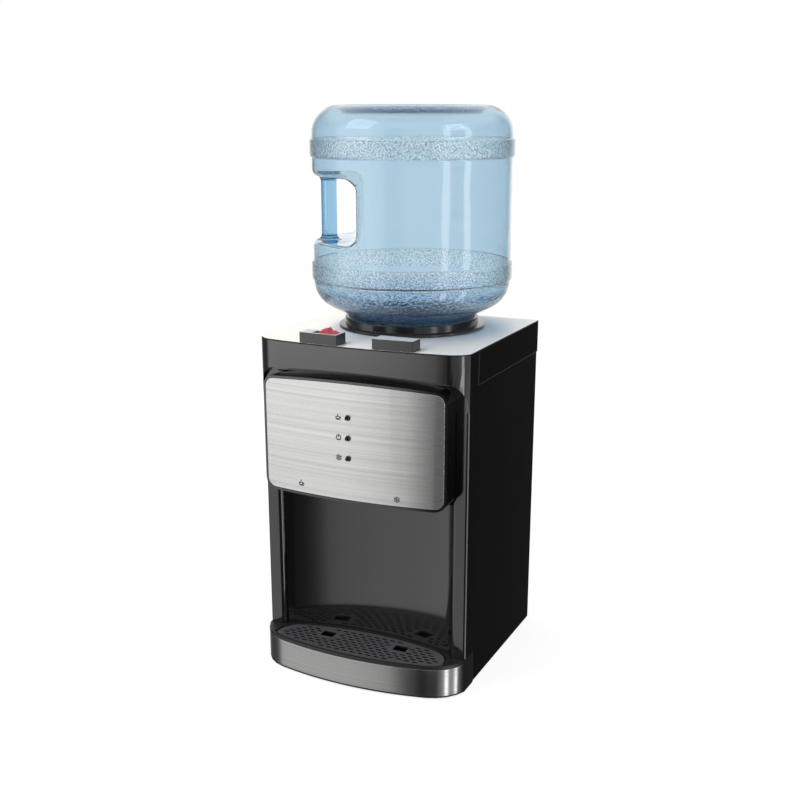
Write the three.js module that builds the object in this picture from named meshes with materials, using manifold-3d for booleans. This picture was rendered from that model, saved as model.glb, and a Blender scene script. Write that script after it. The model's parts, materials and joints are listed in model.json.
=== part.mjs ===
// Countertop water dispenser with an inverted bottle: cabinet, drip tray, dispensing head,
// two push buttons, bottle, and the cold and hot water parts inside.
// Millimetres, +Z up. The front faces -Y. The origin lies on the floor under the middle of the whole.
import * as THREE from "three";
import { mergeVertices } from "three/addons/utils/BufferGeometryUtils.js";
import Module from "manifold-3d";

const wasm = await Module();
wasm.setup();
const { sin, cos, tan, asin, sqrt, min, max, abs, floor, PI } = Math;
const rad = THREE.MathUtils.degToRad;

// ---------------------------------------------------------------- driving dimensions

// Fits
const gap = 0.3; // between pieces that touch
const slideGap = 0.5; // round a piece that moves

// Cabinet
const cabinetWidth = 310;
const cabinetDepth = 276; // from the pillar faces to the rear panel
const cabinetHeight = 480; // top of the deck plate
const mouldingWall = 2.5;
const sheet = 1.2; // steel panels
const deckSheet = 1.5;
const frontDepth = 30.5; // front shell, back to its seam with the side panels
const coverBandHeight = 47.3; // top cover, down to its seam with the side panels
const coverProud = 1; // top cover stands out from the side panels
const coverWell = 89; // hole in the deck for the seat funnel

// Bowed deck front, seen from above: a wide arc with a tighter arc at each end
const deckBowRadius = 933;
const deckBowCorner = 36.8;
const deckBowTurn = rad(58);

// Visor over the dispensing head
const visorEdgeMiddle = 34; // from the deck top down to the lower edge, in the middle
const visorEdgeSide = 39.5; // the same where the edge starts to curve down
const visorEarDepth = 78; // the same at the sides of the cabinet
const visorEarWidth = 24;

// Pillars and alcove
const pillarWidth = 25;
const pillarDepth = 14;
const pillarOuterRound = 4.5;
const pillarInnerRound = 8;
const alcoveDepth = 30;
const alcoveRadius = 425;
const alcoveCorner = 40;
const alcoveTurn = rad(34);
const linerOverlap = 14; // liner goes on above the alcove roof

// Base
const baseHeight = 50;
const baseBowRadius = 479;
const baseBowCorner = 58.8;
const baseBowTurn = rad(72.4);
const baseFrontSet = 1.8; // ends of the base bow, in front of the pillar faces
const baseFloor = 6;
const footHeight = 2.5; // base pan above the surface
const footRadius = 9;
const footRecess = 2.5;
const footInset = 26;
const trimThickness = 1;
const trimBottom = 4.8;
const trimTop = 44.7;
const trimSideSet = 2; // trim band's ends, in from the sides of the cabinet
const standoffHeight = 12;

// Drip tray and grille, a lens between the base bow and the alcove wall
const wellInset = 3;
const wellSideSet = 19.6; // in from the sides of the cabinet
const wellFloor = 6;
const trayWall = 1.6;
const trayLedge = 2.2;
const trayFloor = 2;
const trayBelowTop = 1.2; // tray rim and grille, below the base top
const grilleThickness = 3;
const slotLength = 8;
const slotWidth = 3.2;
const slotPitch = 12.4;
const slotRowPitch = 6.8;
const slotMargin = 3.2;
const drainHoleLength = 20;
const drainHoleWidth = 15;

// Dispensing head
const headSideSet = 18.7; // in from the sides of the cabinet
const headBottom = 271.5;
const headTop = 433.5; // at its ends
const headRise = 5; // more in the middle
const headCorner = 16;
const headSideDepth = 30; // in front of the pillar faces, at its ends
const headBowSag = 14;
const headWall = 3;
const headRoof = 5;
const headBackDepth = 12; // behind the pillar faces
const plateThickness = 1.2;
const plateBezel = 3.5;
const plateMargin = 0.4;
const lensRadius = 2.5;
const lensPitch = 28;
const lensRise = 90; // middle lens, above the bottom of the head
const lensLength = 7;
const boardWidth = 44;
const boardMargin = 14; // beyond the outer lenses
const boardPostInset = 6;
const boardThickness = 1.6;
const boardStand = 4;
const boardPostRadius = 3;

// Faucets
const faucetX = 57.6;
const faucetY = -2.5;
const valveOffset = 10.5; // valve body, behind its spout
const faucetRadius = 9;
const faucetHeight = 52;
const spoutRadius = 6;
const spoutBore = 3.5;
const spoutDrop = 8; // below the head
const faucetPortHeight = 32;
const faucetPortRadius = 4.5;
const faucetPortLength = 18;

// Push buttons
const buttonInner = 26; // from the middle of the cabinet
const buttonWidth = 57.5;
const buttonBack = 3;
const buttonSet = 1.8; // behind the deck edge
const buttonHeight = 14; // above the deck
const buttonSkirt = 9; // below the deck top
const buttonTop = 3.2;
const buttonWall = 2.2;
const buttonTravel = 6;
const rodRadius = 3;
const rodSocket = 6;
const armDrop = 3; // under the button's skirt
const rodDip = 20; // into the faucet
const springWire = 0.7;
const springRadius = 5.5;
const springTurns = 4;
const springLength = 24;
const springCollar = 7.5;
const springCollarHeight = 3;

// Child lock
const lockLength = 26;
const lockWidth = 12;
const lockInset = 5; // from the inner end of the hot button
const lockSink = 2;
const lockTravel = 8;
const lockBody = 2.4;
const lockPeak = 6.6;

// Bottle
const axisFromBack = 114; // bottle's axis, in front of the rear panel
const bottleRadius = 140;
const bottleTop = 786;
const bottleWall = 2;
const bandProud = 2.5;
const bandLow = 545;
const bandLowHeight = 30;
const bandHigh = 716;
const bandHighHeight = 26;
const topCorner = 40;
const domeSlope = rad(26);
const domeCorner = 40;
const domeHeight = 42.7; // cone and side wall would meet this far above the deck
const neckRadius = 27;
const neckWall = 3;
const neckLength = 50;
const handleAngle = rad(204.7);
const handleReach = 76; // inner wall of the hand hole, from the axis
const handleBottom = 603;
const handleTop = 691;
const handleRound = 14;
const handleBar = 117; // bar, from the axis
const handleBarRadius = 11;
const handleBarFlare = 8;

// Bottle seat
const collarFlangeRadius = 105;
const collarFlangeHeight = 4;
const collarRadius = 96;
const collarHeight = 14.5;
const collarWall = 5;
const funnelWall = 2;
const funnelNeckGap = 1;
const funnelFloor = 3;
const capHeight = 16;
const capWall = 1.6;
const probeRadius = 7;
const probeBore = 4.5;
const probeRise = 46; // above the funnel floor
const probePort = 3;

// Water parts inside
const frameTop = 266; // shelf that carries the cold tank
const frameSheet = 2;
const frameSideSet = 9; // in from the sides of the cabinet
const frameReach = 84; // front edge of the shelf, ahead of the bottle's axis
const coldTankRadius = 62;
const coldTankHeight = 104;
const tankWall = 1.5;
const foamWall = 18;
const foamFloor = 12;
const hotTankFromSide = 83; // hot tank's axis, from the left side
const hotTankFromBack = 116;
const hotTankRadius = 42;
const hotTankHeight = 120;
const hotTankStand = 46;
const hotTankStandWall = 3;
const heaterHeight = 36;
const heaterWall = 4;
const heaterSlit = 6;
const portBore = 5;
const hoseRadius = 4.5;
const hoseClear = 20; // hoses from the shelf that they pass
const coldPortX = 25;
const coldPortRise = 20; // above the cold tank's floor
const hotPortRise = 16; // above the hot tank's floor

// Thermoelectric cooler and fan
const coolerRise = 52; // centre, above the cold tank's floor
const coldBlockSize = 46;
const coldBlockDepth = 14;
const moduleSize = 40;
const moduleThickness = 4;
const sinkSize = 84;
const sinkBase = 4;
const sinkFin = 11;
const sinkFinThickness = 1.6;
const sinkFins = 9;
const fanSize = 80;
const fanDepth = 13;
const fanWall = 2.5;
const hubRadius = 14;
const bladeCount = 7;
const bladeGap = 1.5;
const bladeThickness = 1.4;
const bladePitch = rad(32);
const spindleRadius = 2.5;

// Rear panel
const rearInset = 4; // from the sides of the cabinet
const ventCount = 9;
const ventLength = 62;
const ventHeight = 4;
const ventPitch = 9;
const screwInset = 11;
const screwHead = 4;
const screwHeadHeight = 2;
const screwShank = 1.8;
const screwLength = 7;
const flangeWidth = 20;
const switchFromSide = 77; // middle of the switches, from the right side
const switchZ = 96;
const switchWidth = 22;
const switchHeight = 30;
const switchPitch = 34;
const switchBezel = 3;
const switchDepth = 16;
const rockerTilt = rad(9);
const glandFromSide = 67;
const glandZ = 66;
const glandRadius = 9;
const glandBore = 4;
const drainZ = 34;
const drainRadius = 8;
const drainBore = 5;
const drainStickOut = 10;
const drainCapRadius = 11;
const drainCapWall = 2;
const powerBoardWidth = 90;
const powerBoardDepth = 70;
const powerBoardFromSide = 93; // middle of the board, from the right side
const powerBoardFromBack = 101;

// ---------------------------------------------------------------- geometry helpers

// A three.js geometry as a manifold solid: positions only, vertices merged, facing outwards.
function solid(geometry) {
  const bare = geometry.clone();
  for (const name of ["normal", "uv"]) bare.deleteAttribute(name);
  const merged = mergeVertices(bare, 1e-4);
  const kept = [];
  const index = merged.index.array;
  for (let i = 0; i < index.length; i += 3) {
    const [a, b, c] = [index[i], index[i + 1], index[i + 2]];
    if (a !== b && b !== c && c !== a) kept.push(a, b, c);
  }
  const made = (order) =>
    new wasm.Manifold(
      new wasm.Mesh({
        numProp: 3,
        vertProperties: merged.attributes.position.array,
        triVerts: new Uint32Array(order),
      }),
    );
  const body = made(kept);
  if (body.volume() > 0) return body;
  return made(kept.map((_, i) => kept[i - (i % 3) + 2 - (i % 3)]));
}

function join(first, ...others) {
  return others.reduce((body, other) => body.add(other), first);
}

function cut(first, ...others) {
  return others.reduce((body, other) => body.subtract(other), first);
}

// The solid's faces as a buffer geometry with flat normals.
function geometryOf(body) {
  const mesh = body.getMesh();
  const positions = new Float32Array(mesh.numVert * 3);
  for (let i = 0; i < mesh.numVert; i++) {
    positions.set(mesh.vertProperties.subarray(i * mesh.numProp, i * mesh.numProp + 3), i * 3);
  }
  const indexed = new THREE.BufferGeometry();
  indexed.setAttribute("position", new THREE.BufferAttribute(positions, 3));
  indexed.setIndex(new THREE.BufferAttribute(mesh.triVerts, 1));
  const flat = indexed.toNonIndexed();
  flat.computeVertexNormals();
  return flat;
}

function extruded(points, depth) {
  const shape = new THREE.Shape(points.map(([u, v]) => new THREE.Vector2(u, v)));
  return new THREE.ExtrudeGeometry(shape, { depth, bevelEnabled: false, steps: 1 });
}

// Outline in X and Y, standing from z0 to z1.
function upright(points, z0, z1) {
  return solid(extruded(points, z1 - z0).translate(0, 0, z0));
}

// Outline in X and Z, running from y0 back to y1.
function through(points, y0, y1) {
  return solid(extruded(points, y1 - y0).rotateX(PI / 2).translate(0, y1, 0));
}

function box(x0, x1, y0, y1, z0, z1) {
  const geometry = new THREE.BoxGeometry(x1 - x0, y1 - y0, z1 - z0);
  return solid(geometry.translate((x0 + x1) / 2, (y0 + y1) / 2, (z0 + z1) / 2));
}

// Flat sides of the round pieces about the bottle's axis, alike so that they nest.
const bottleSides = 32;

// Vertical cylinder.
function post(x, y, radius, z0, z1, sides = 16) {
  const geometry = new THREE.CylinderGeometry(radius, radius, z1 - z0, sides);
  return solid(geometry.rotateX(PI / 2).translate(x, y, (z0 + z1) / 2));
}

// Cylinder along Y.
function bar(x, z, radius, y0, y1, sides = 16) {
  const geometry = new THREE.CylinderGeometry(radius, radius, y1 - y0, sides);
  return solid(geometry.translate(x, (y0 + y1) / 2, z));
}

// Profile of radius and height, turned about a vertical axis through the origin.
function turned(profile, sides = 24) {
  const points = profile.map(([r, z]) => new THREE.Vector2(r, z));
  return solid(new THREE.LatheGeometry(points, sides).rotateX(PI / 2));
}

function arc(x, y, radius, from, to, steps) {
  const points = [];
  for (let i = 0; i <= steps; i++) {
    const angle = from + ((to - from) * i) / steps;
    points.push([x + radius * cos(angle), y + radius * sin(angle)]);
  }
  return points;
}

// Rectangle with rounded corners.
function rounded(u0, u1, v0, v1, r, steps = 3) {
  return [
    ...arc(u1 - r, v0 + r, r, -PI / 2, 0, steps),
    ...arc(u1 - r, v1 - r, r, 0, PI / 2, steps),
    ...arc(u0 + r, v1 - r, r, PI / 2, PI, steps),
    ...arc(u0 + r, v0 + r, r, PI, PI * 1.5, steps),
  ];
}

// Round hose of solid section along a smooth path.
function hose(points, radius, steps, sides = 8) {
  const path = new THREE.CatmullRomCurve3(points.map((p) => new THREE.Vector3(...p)));
  const ring = arc(0, 0, radius, 0, 2 * PI, sides).slice(0, -1);
  const shape = new THREE.Shape(ring.map(([u, v]) => new THREE.Vector2(u, v)));
  return solid(new THREE.ExtrudeGeometry(shape, { steps, extrudePath: path, bevelEnabled: false }));
}

// ---------------------------------------------------------------- plan curves

// A bow is a wide arc between two tighter corner arcs that end at half its width.
// How far its middle lies ahead of its ends.
function sagOf({ radius, corner, turn, half }) {
  const lean = asin((half - corner * sin(turn)) / (radius - corner));
  return radius - (radius - corner) * cos(lean) - corner * cos(turn);
}

// Its points from left to right, middle foremost, drawn in by the inset.
function bowPoints({ radius, corner, turn, half, middle }, inset = 0, steps = 8) {
  const cornerX = half - corner * sin(turn);
  const lean = asin(cornerX / (radius - corner));
  const centreY = middle + radius;
  const cornerY = centreY - (radius - corner) * cos(lean);
  const last = asin(min(1, (half - inset - cornerX) / (corner - inset)));
  const points = [];
  for (let i = 0; i <= steps; i++) {
    const a = (lean * i) / steps;
    points.push([(radius - inset) * sin(a), centreY - (radius - inset) * cos(a)]);
  }
  for (let i = 1; i <= 4; i++) {
    const a = lean + ((last - lean) * i) / 4;
    points.push([cornerX + (corner - inset) * sin(a), cornerY - (corner - inset) * cos(a)]);
  }
  const left = points.slice(1).map(([x, y]) => [-x, y]);
  return [...left.reverse(), ...points];
}

// Height of a bow's curve at x, read off its points.
function bowAt(points, x) {
  for (let i = 1; i < points.length; i++) {
    const [[x0, y0], [x1, y1]] = [points[i - 1], points[i]];
    if (x >= x0 && x <= x1) return y0 + ((y1 - y0) * (x - x0)) / (x1 - x0);
  }
  return NaN;
}

// Outline of a bow with straight sides back to y.
function bowOutline(spec, inset, y) {
  const half = spec.half - inset;
  return [...bowPoints(spec, inset), [half, y], [-half, y]];
}

// Outline of everything in front of a curve that bows backwards.
function hollowOutline(spec, inset, y) {
  const half = spec.half - inset;
  const curve = bowPoints(spec, inset).map(([x, v]) => [x, -v]);
  return [...curve.reverse(), [-half, y], [half, y]];
}

const cabinetHalf = cabinetWidth / 2;
const axisY = cabinetDepth - axisFromBack;
const wellHalf = cabinetHalf - wellSideSet;
const headHalf = cabinetHalf - headSideSet;
const trimEnd = cabinetHalf - trimSideSet;
const frameHalf = cabinetHalf - frameSideSet;
const frameFront = axisY - frameReach;
const hotTankX = hotTankFromSide - cabinetHalf;
const hotTankY = cabinetDepth - hotTankFromBack;
const powerBoardX = cabinetHalf - powerBoardFromSide;
const powerBoardY = cabinetDepth - powerBoardFromBack;
const switchX = cabinetHalf - switchFromSide;
const glandX = cabinetHalf - glandFromSide;
const deckBow = {
  radius: deckBowRadius,
  corner: deckBowCorner,
  turn: deckBowTurn,
  half: cabinetHalf,
};
deckBow.middle = -sagOf(deckBow);
const baseBow = {
  radius: baseBowRadius,
  corner: baseBowCorner,
  turn: baseBowTurn,
  half: cabinetHalf,
};
baseBow.middle = -baseFrontSet - sagOf(baseBow);
const alcoveHalf = cabinetHalf - pillarWidth;
const alcoveBow = {
  radius: alcoveRadius,
  corner: alcoveCorner,
  turn: alcoveTurn,
  half: alcoveHalf,
  middle: -alcoveDepth,
};
const wellBow = {
  radius: alcoveRadius,
  corner: alcoveCorner,
  turn: PI / 2,
  half: wellHalf,
  middle: -alcoveDepth,
};

// The lens between base bow and alcove wall, drawn in all round.
const farFront = -cabinetDepth;
function lens(inset, z0, z1) {
  const front = upright(bowOutline(baseBow, inset, alcoveDepth + 1), z0, z1);
  return front.intersect(upright(hollowOutline(wellBow, inset, farFront), z0, z1));
}

// ---------------------------------------------------------------- levels and places

const deckTop = cabinetHeight;
const mouldTop = deckTop - deckSheet - gap; // top face of the mouldings under the deck plate
const innerTop = mouldTop - mouldingWall;
const coverBottom = deckTop - coverBandHeight;
const panelOuter = cabinetHalf - coverProud;
const panelInner = panelOuter - sheet;
const rearOuter = cabinetDepth;
const rearInner = rearOuter - sheet;
const flangeInner = rearInner - gap - sheet;
const baseBottom = footHeight;
const floorTop = baseBottom + baseFloor;
const trayInset = wellInset + slideGap;
const trayTop = baseHeight - trayBelowTop;
const trayBottom = baseBottom + wellFloor + gap;
const grilleInset = trayInset + trayWall + slideGap;
const grilleTop = trayTop;
const grilleBottom = grilleTop - grilleThickness;
const linerTop = headBottom + linerOverlap;
const coldTankBottom = frameTop + gap + foamFloor + gap;

const root = new THREE.Group();
const cabinet = new THREE.Group();
root.add(cabinet);

// A named mesh with a material of its own.
function part(name, body, [color, roughness, metalness], parent = cabinet) {
  const material = new THREE.MeshStandardMaterial({ color, roughness, metalness });
  const mesh = new THREE.Mesh(body.isBufferGeometry ? body : geometryOf(body), material);
  mesh.name = name;
  parent.add(mesh);
  return mesh;
}

const glossBlack = ["#141415", 0.15, 0];
const mattBlack = ["#1c1c1d", 0.55, 0];
const brushedSteel = ["#c9c9c7", 0.35, 1];
const galvanised = ["#b4b6b8", 0.45, 1];
const rubber = ["#161616", 0.85, 0];
const naturalPlastic = ["#d9dbd6", 0.5, 0];
const silicone = ["#dfe3e3", 0.4, 0];

// ---------------------------------------------------------------- base

const footPlaces = [-1, 1].flatMap((side) =>
  [footInset, cabinetDepth - footInset].map((y) => [side * (cabinetHalf - footInset), y]),
);
const standoffPlaces = [-1, 1].flatMap((i) =>
  [-1, 1].map((j) => [
    powerBoardX + (i * (powerBoardWidth - 12)) / 2,
    powerBoardY + (j * (powerBoardDepth - 12)) / 2,
  ]),
);
const baseBack = flangeInner - gap;
const screwPlaces = [-1, 1].flatMap((side) =>
  [floorTop + screwInset, coverBottom - gap - screwInset].map((z) => [
    side * (cabinetHalf - rearInset - screwInset),
    z,
  ]),
);
const screwHoles = (y0, y1) =>
  screwPlaces.map(([x, z]) => bar(x, z, screwShank + gap, y0, y1, 8));
const baseRearHalf = panelInner - gap;
const trimSeat = trimThickness + gap;
const trimRing = (inset, z0, z1) =>
  cut(
    upright(bowOutline(baseBow, inset, 0), z0, z1),
    upright(bowOutline(baseBow, trimThickness, 1), z0 - 1, z1 + 1),
  );
const basePan = cut(
  join(
    upright(bowOutline(baseBow, 0, frontDepth), baseBottom, baseHeight),
    box(-baseRearHalf, baseRearHalf, frontDepth - 1, baseBack, baseBottom, baseHeight),
  ),
  lens(wellInset, baseBottom + wellFloor, baseHeight + 1),
  cut(
    upright(
      rounded(
        -baseRearHalf + mouldingWall,
        baseRearHalf - mouldingWall,
        0,
        baseBack - mouldingWall,
        4,
      ),
      floorTop,
      baseHeight + 1,
    ),
    upright(hollowOutline(alcoveBow, -2 * mouldingWall, farFront), floorTop - 1, baseHeight + 2),
    box(-cabinetWidth, -alcoveHalf, farFront, pillarDepth + 4, floorTop - 1, baseHeight + 2),
    box(alcoveHalf, cabinetWidth, farFront, pillarDepth + 4, floorTop - 1, baseHeight + 2),
  ),
  cut(
    upright(bowOutline(baseBow, -1, 0), trimBottom - gap, trimTop + gap),
    upright(bowOutline(baseBow, trimSeat, 1), 0, baseHeight),
    box(trimEnd + gap, cabinetWidth, farFront, 1, 0, baseHeight),
    box(-cabinetWidth, -trimEnd - gap, farFront, 1, 0, baseHeight),
  ),
  ...footPlaces.map(([x, y]) => post(x, y, footRadius + gap, 0, baseBottom + footRecess + gap)),
  ...screwHoles(baseBack - 2 * screwLength, baseBack + 1),
  bar(hotTankX, drainZ, drainRadius + gap, baseBack - 2 * mouldingWall, baseBack + 1, 16),
);
part(
  "base_pan",
  join(
    basePan,
    ...standoffPlaces.map(([x, y]) => post(x, y, 4, floorTop - 1, floorTop + standoffHeight, 8)),
    cut(
      post(hotTankX, hotTankY, hotTankRadius - 4, floorTop - 1, floorTop + hotTankStand, 20),
      post(
        hotTankX,
        hotTankY,
        hotTankRadius - 4 - hotTankStandWall,
        floorTop,
        floorTop + hotTankStand + 1,
        20,
      ),
      box(
        hotTankX - 12,
        hotTankX + 12,
        hotTankY,
        hotTankY + hotTankRadius,
        floorTop + 4,
        floorTop + hotTankStand + 1,
      ),
    ),
  ),
  mattBlack,
);
part(
  "base_trim_band",
  trimRing(0, trimBottom, trimTop).intersect(
    box(-trimEnd, trimEnd, farFront, 1, 0, baseHeight),
  ),
  brushedSteel,
);
footPlaces.forEach(([x, y], i) => {
  const foot = part(
    "foot_" + (i + 1),
    post(0, 0, footRadius, 0, footHeight + footRecess),
    rubber,
  );
  foot.position.set(x, y, 0);
});

// ---------------------------------------------------------------- drip tray and grille

part(
  "drip_tray",
  cut(
    lens(trayInset, trayBottom, trayTop),
    lens(trayInset + trayWall, grilleBottom - gap, trayTop + 1),
    lens(trayInset + trayWall + trayLedge, trayBottom + trayFloor, trayTop + 1),
  ),
  mattBlack,
);

// Slots in a brick pattern, wherever one fits whole inside the lens and beside the square holes.
const grilleFront = bowPoints(baseBow, grilleInset + slotMargin);
const grilleRear = bowPoints(wellBow, grilleInset + slotMargin).map(([x, y]) => [x, -y]);
function slotFits(x, y) {
  const nearHole =
    abs(abs(x) - faucetX) < (drainHoleLength + slotLength) / 2 + 2 &&
    abs(y - faucetY) < (drainHoleWidth + slotWidth) / 2 + 2;
  if (nearHole) return false;
  return [-1, 1].every((i) =>
    [-1, 1].every((j) => {
      const [u, v] = [x + (i * slotLength) / 2, y + (j * slotWidth) / 2];
      return v > bowAt(grilleFront, u) && v < bowAt(grilleRear, u);
    }),
  );
}
const slots = [];
const slotRows = floor(cabinetDepth / slotRowPitch);
const slotColumns = floor(cabinetHalf / slotPitch);
for (let row = -slotRows; row <= slotRows; row++) {
  const y = faucetY + slotRowPitch * (row + 0.5);
  for (let column = -slotColumns; column <= slotColumns; column++) {
    const x = slotPitch * (column + (row % 2 === 0 ? 0 : 0.5));
    if (slotFits(x, y)) slots.push([x, y]);
  }
}
const slotCutters = slots.map(([x, y]) =>
  box(
    x - slotLength / 2,
    x + slotLength / 2,
    y - slotWidth / 2,
    y + slotWidth / 2,
    grilleBottom - 1,
    grilleTop + 1,
  ),
);
const drainHoles = [-1, 1].map((side) =>
  box(
    side * faucetX - drainHoleLength / 2,
    side * faucetX + drainHoleLength / 2,
    faucetY - drainHoleWidth / 2,
    faucetY + drainHoleWidth / 2,
    grilleBottom - 1,
    grilleTop + 1,
  ),
);
part(
  "drip_grille",
  cut(lens(grilleInset, grilleBottom, grilleTop), ...slotCutters, ...drainHoles),
  glossBlack,
);

// ---------------------------------------------------------------- front shell and alcove

// Lower edge of the visor: a slight arch that turns down to the cabinet's sides.
const visorStraight = cabinetHalf - visorEarWidth;
const visorRight = [];
for (let i = 0; i <= 8; i++) {
  const x = (visorStraight * i) / 8;
  const share = (x / visorStraight) ** 2;
  visorRight.push([x, deckTop - visorEdgeMiddle - (visorEdgeSide - visorEdgeMiddle) * share]);
}
for (let i = 1; i <= 8; i++) {
  const a = ((PI / 2) * i) / 8;
  visorRight.push([
    visorStraight + visorEarWidth * sin(a),
    deckTop - visorEarDepth + (visorEarDepth - visorEdgeSide) * cos(a),
  ]);
}
const visorLeft = visorRight.slice(1).map(([x, z]) => [-x, z]);
const recessOutline = [
  ...visorLeft.reverse(),
  ...visorRight,
  [cabinetHalf + 1, deckTop - visorEarDepth],
  [cabinetHalf + 1, 0],
  [-cabinetHalf - 1, 0],
  [-cabinetHalf - 1, deckTop - visorEarDepth],
];
const pillarOutline = (side) =>
  [
    [cabinetHalf, frontDepth],
    ...arc(cabinetHalf - pillarOuterRound, pillarOuterRound, pillarOuterRound, 0, -PI / 2, 5),
    ...arc(alcoveHalf + pillarInnerRound, pillarInnerRound, pillarInnerRound, -PI / 2, -PI, 5),
    [alcoveHalf, pillarDepth],
    [cabinetHalf - mouldingWall, pillarDepth],
    [cabinetHalf - mouldingWall, frontDepth],
  ].map(([x, y]) => [side * x, y]);
const headerBottom = headTop + gap + 1;
const buttonSpec = deckBow;
const buttonFront = (inset) => bowPoints(buttonSpec, buttonSet + inset);

// Plan outline of a button between two distances from the middle, drawn in by the inset.
function buttonOutline(side, inset) {
  const [x0, x1] = [buttonInner + inset, buttonInner + buttonWidth - inset];
  const curve = buttonFront(inset);
  const points = [];
  for (let i = 0; i <= 4; i++) {
    const x = x0 + ((x1 - x0) * i) / 4;
    points.push([side * x, bowAt(curve, x)]);
  }
  return [...points, [side * x1, buttonBack - inset], [side * x0, buttonBack - inset]];
}
const buttonSlots = (z0, z1) =>
  [-1, 1].map((side) => upright(buttonOutline(side, -slideGap), z0, z1));
const frontShell = join(
  cut(
    upright(bowOutline(deckBow, 0, frontDepth), deckTop - visorEarDepth, mouldTop),
    upright(
      bowOutline(deckBow, mouldingWall, 2 * mouldingWall),
      deckTop - visorEdgeMiddle + mouldingWall,
      innerTop,
    ),
    through(recessOutline, farFront, 0),
    box(
      -cabinetHalf + mouldingWall,
      cabinetHalf - mouldingWall,
      mouldingWall,
      frontDepth + 1,
      deckTop - visorEarDepth - 1,
      innerTop,
    ),
    box(-alcoveHalf, alcoveHalf, -gap, mouldingWall + 1, 0, headerBottom),
  ),
  upright(pillarOutline(-1), baseHeight + gap, innerTop + 1),
  upright(pillarOutline(1), baseHeight + gap, innerTop + 1),
);
const slotBottom = deckTop - buttonSkirt - buttonTravel - slideGap;
part("front_shell", cut(frontShell, ...buttonSlots(slotBottom, mouldTop + 1)), glossBlack);

part(
  "alcove_liner",
  cut(
    upright(hollowOutline(alcoveBow, -mouldingWall, farFront), baseHeight + gap, linerTop),
    upright(hollowOutline(alcoveBow, 0, farFront - 1), 0, linerTop + 1),
    box(alcoveHalf - gap, cabinetWidth, farFront, cabinetDepth, 0, linerTop + 1),
    box(-cabinetWidth, -alcoveHalf + gap, farFront, cabinetDepth, 0, linerTop + 1),
  ),
  glossBlack,
);

// ---------------------------------------------------------------- dispensing head

const headBowRadius = (headHalf ** 2 + headBowSag ** 2) / (2 * headBowSag);
const headFront = -headSideDepth - headBowSag;

// Everything behind the bowed face, drawn in by the inset.
function behindFace(inset, y = 0) {
  const radius = headBowRadius - inset;
  const reach = headHalf + 2;
  const span = asin(reach / radius);
  const points = arc(0, headFront + headBowRadius, radius, -PI / 2 - span, -PI / 2 + span, 14);
  return upright([...points, [reach, y], [-reach, y]], headBottom - 10, headTop + headRise + 10);
}

// Outline of the head or its plate: rounded corners and a slightly arched top.
function headOutline(inset) {
  const half = headHalf - inset;
  const r = headCorner - inset;
  const [z0, z1] = [headBottom + inset, headTop - inset];
  const top = [];
  for (let i = 0; i <= 8; i++) {
    const x = (half - r) * (1 - i / 4);
    top.push([x, z1 + headRise * (1 - (x / (half - r)) ** 2)]);
  }
  return [
    ...arc(half - r, z0 + r, r, -PI / 2, 0, 4),
    ...arc(half - r, z1 - r, r, 0, PI / 2, 4),
    ...top.slice(1, -1),
    ...arc(-half + r, z1 - r, r, PI / 2, PI, 4),
    ...arc(-half + r, z0 + r, r, PI, PI * 1.5, 4),
  ];
}
const headInnerHalf = alcoveHalf - gap - mouldingWall;
const lensMiddle = headBottom + lensRise;
const lensPlaces = [
  ["hot", lensMiddle + lensPitch],
  ["power", lensMiddle],
  ["cold", lensMiddle - lensPitch],
];
const boardBottom = lensMiddle - lensPitch - boardMargin;
const boardTop = lensMiddle + lensPitch + boardMargin;
const boardFront = headFront + plateThickness + gap + headWall + boardStand + gap;
const boardPosts = [-1, 1].flatMap((i) =>
  [boardBottom + boardPostInset, boardTop - boardPostInset].map((z) => [
    i * (boardWidth / 2 - boardPostInset),
    z,
  ]),
);
const faucetPlaces = { hot: -faucetX, cold: faucetX };
const valveY = faucetY + valveOffset;
const headShell = cut(
  join(
    through(headOutline(0), headFront - 1, -gap).intersect(behindFace(0)),
    box(
      -alcoveHalf + gap,
      alcoveHalf - gap,
      -gap - 1,
      headBackDepth,
      headBottom,
      headTop,
    ).intersect(upright(hollowOutline(alcoveBow, gap, farFront), headBottom, headTop)),
  ),
  box(
    -headInnerHalf,
    headInnerHalf,
    headFront - 1,
    headBackDepth + 1,
    headBottom + headWall,
    headTop - headRoof,
  ).intersect(behindFace(plateThickness + gap + headWall, headBackDepth + 2)),
  through(headOutline(plateBezel - plateMargin), headFront - 1, 0).subtract(
    behindFace(plateThickness + gap, 1),
  ),
  ...lensPlaces.map(([, z]) => bar(0, z, lensRadius + gap, headFront - 2, boardFront, 16)),
);
part(
  "head_housing",
  cut(
    join(
      headShell,
      upright(hollowOutline(alcoveBow, gap, -gap - 1), headBottom, headBottom + headWall),
      ...boardPosts.map(([x, z]) =>
        bar(x, z, boardPostRadius, boardFront - gap - boardStand - 1, boardFront - gap, 12),
      ),
    ),
    ...Object.values(faucetPlaces).flatMap((x) => [
      post(x, faucetY, spoutRadius + gap, headBottom - 1, headBottom + headWall + 1, 20),
      post(x, valveY, rodRadius + slideGap, headTop - headRoof - 1, headTop + 1, 12),
    ]),
  ),
  glossBlack,
);
part(
  "display_plate",
  cut(
    through(headOutline(plateBezel), headFront - 1, -headSideDepth / 2).intersect(behindFace(0)),
    behindFace(plateThickness, 1),
    ...lensPlaces.map(([, z]) => bar(0, z, lensRadius + gap, headFront - 2, boardFront, 16)),
  ),
  brushedSteel,
);
const lensColours = { hot: "#3a1414", power: "#14301c", cold: "#14243a" };
for (const [name, z] of lensPlaces) {
  const lensMesh = part(
    "indicator_lens_" + name,
    bar(0, 0, lensRadius, 0, lensLength, 16),
    [lensColours[name], 0.2, 0],
  );
  lensMesh.position.set(0, headFront, z);
}
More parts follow.
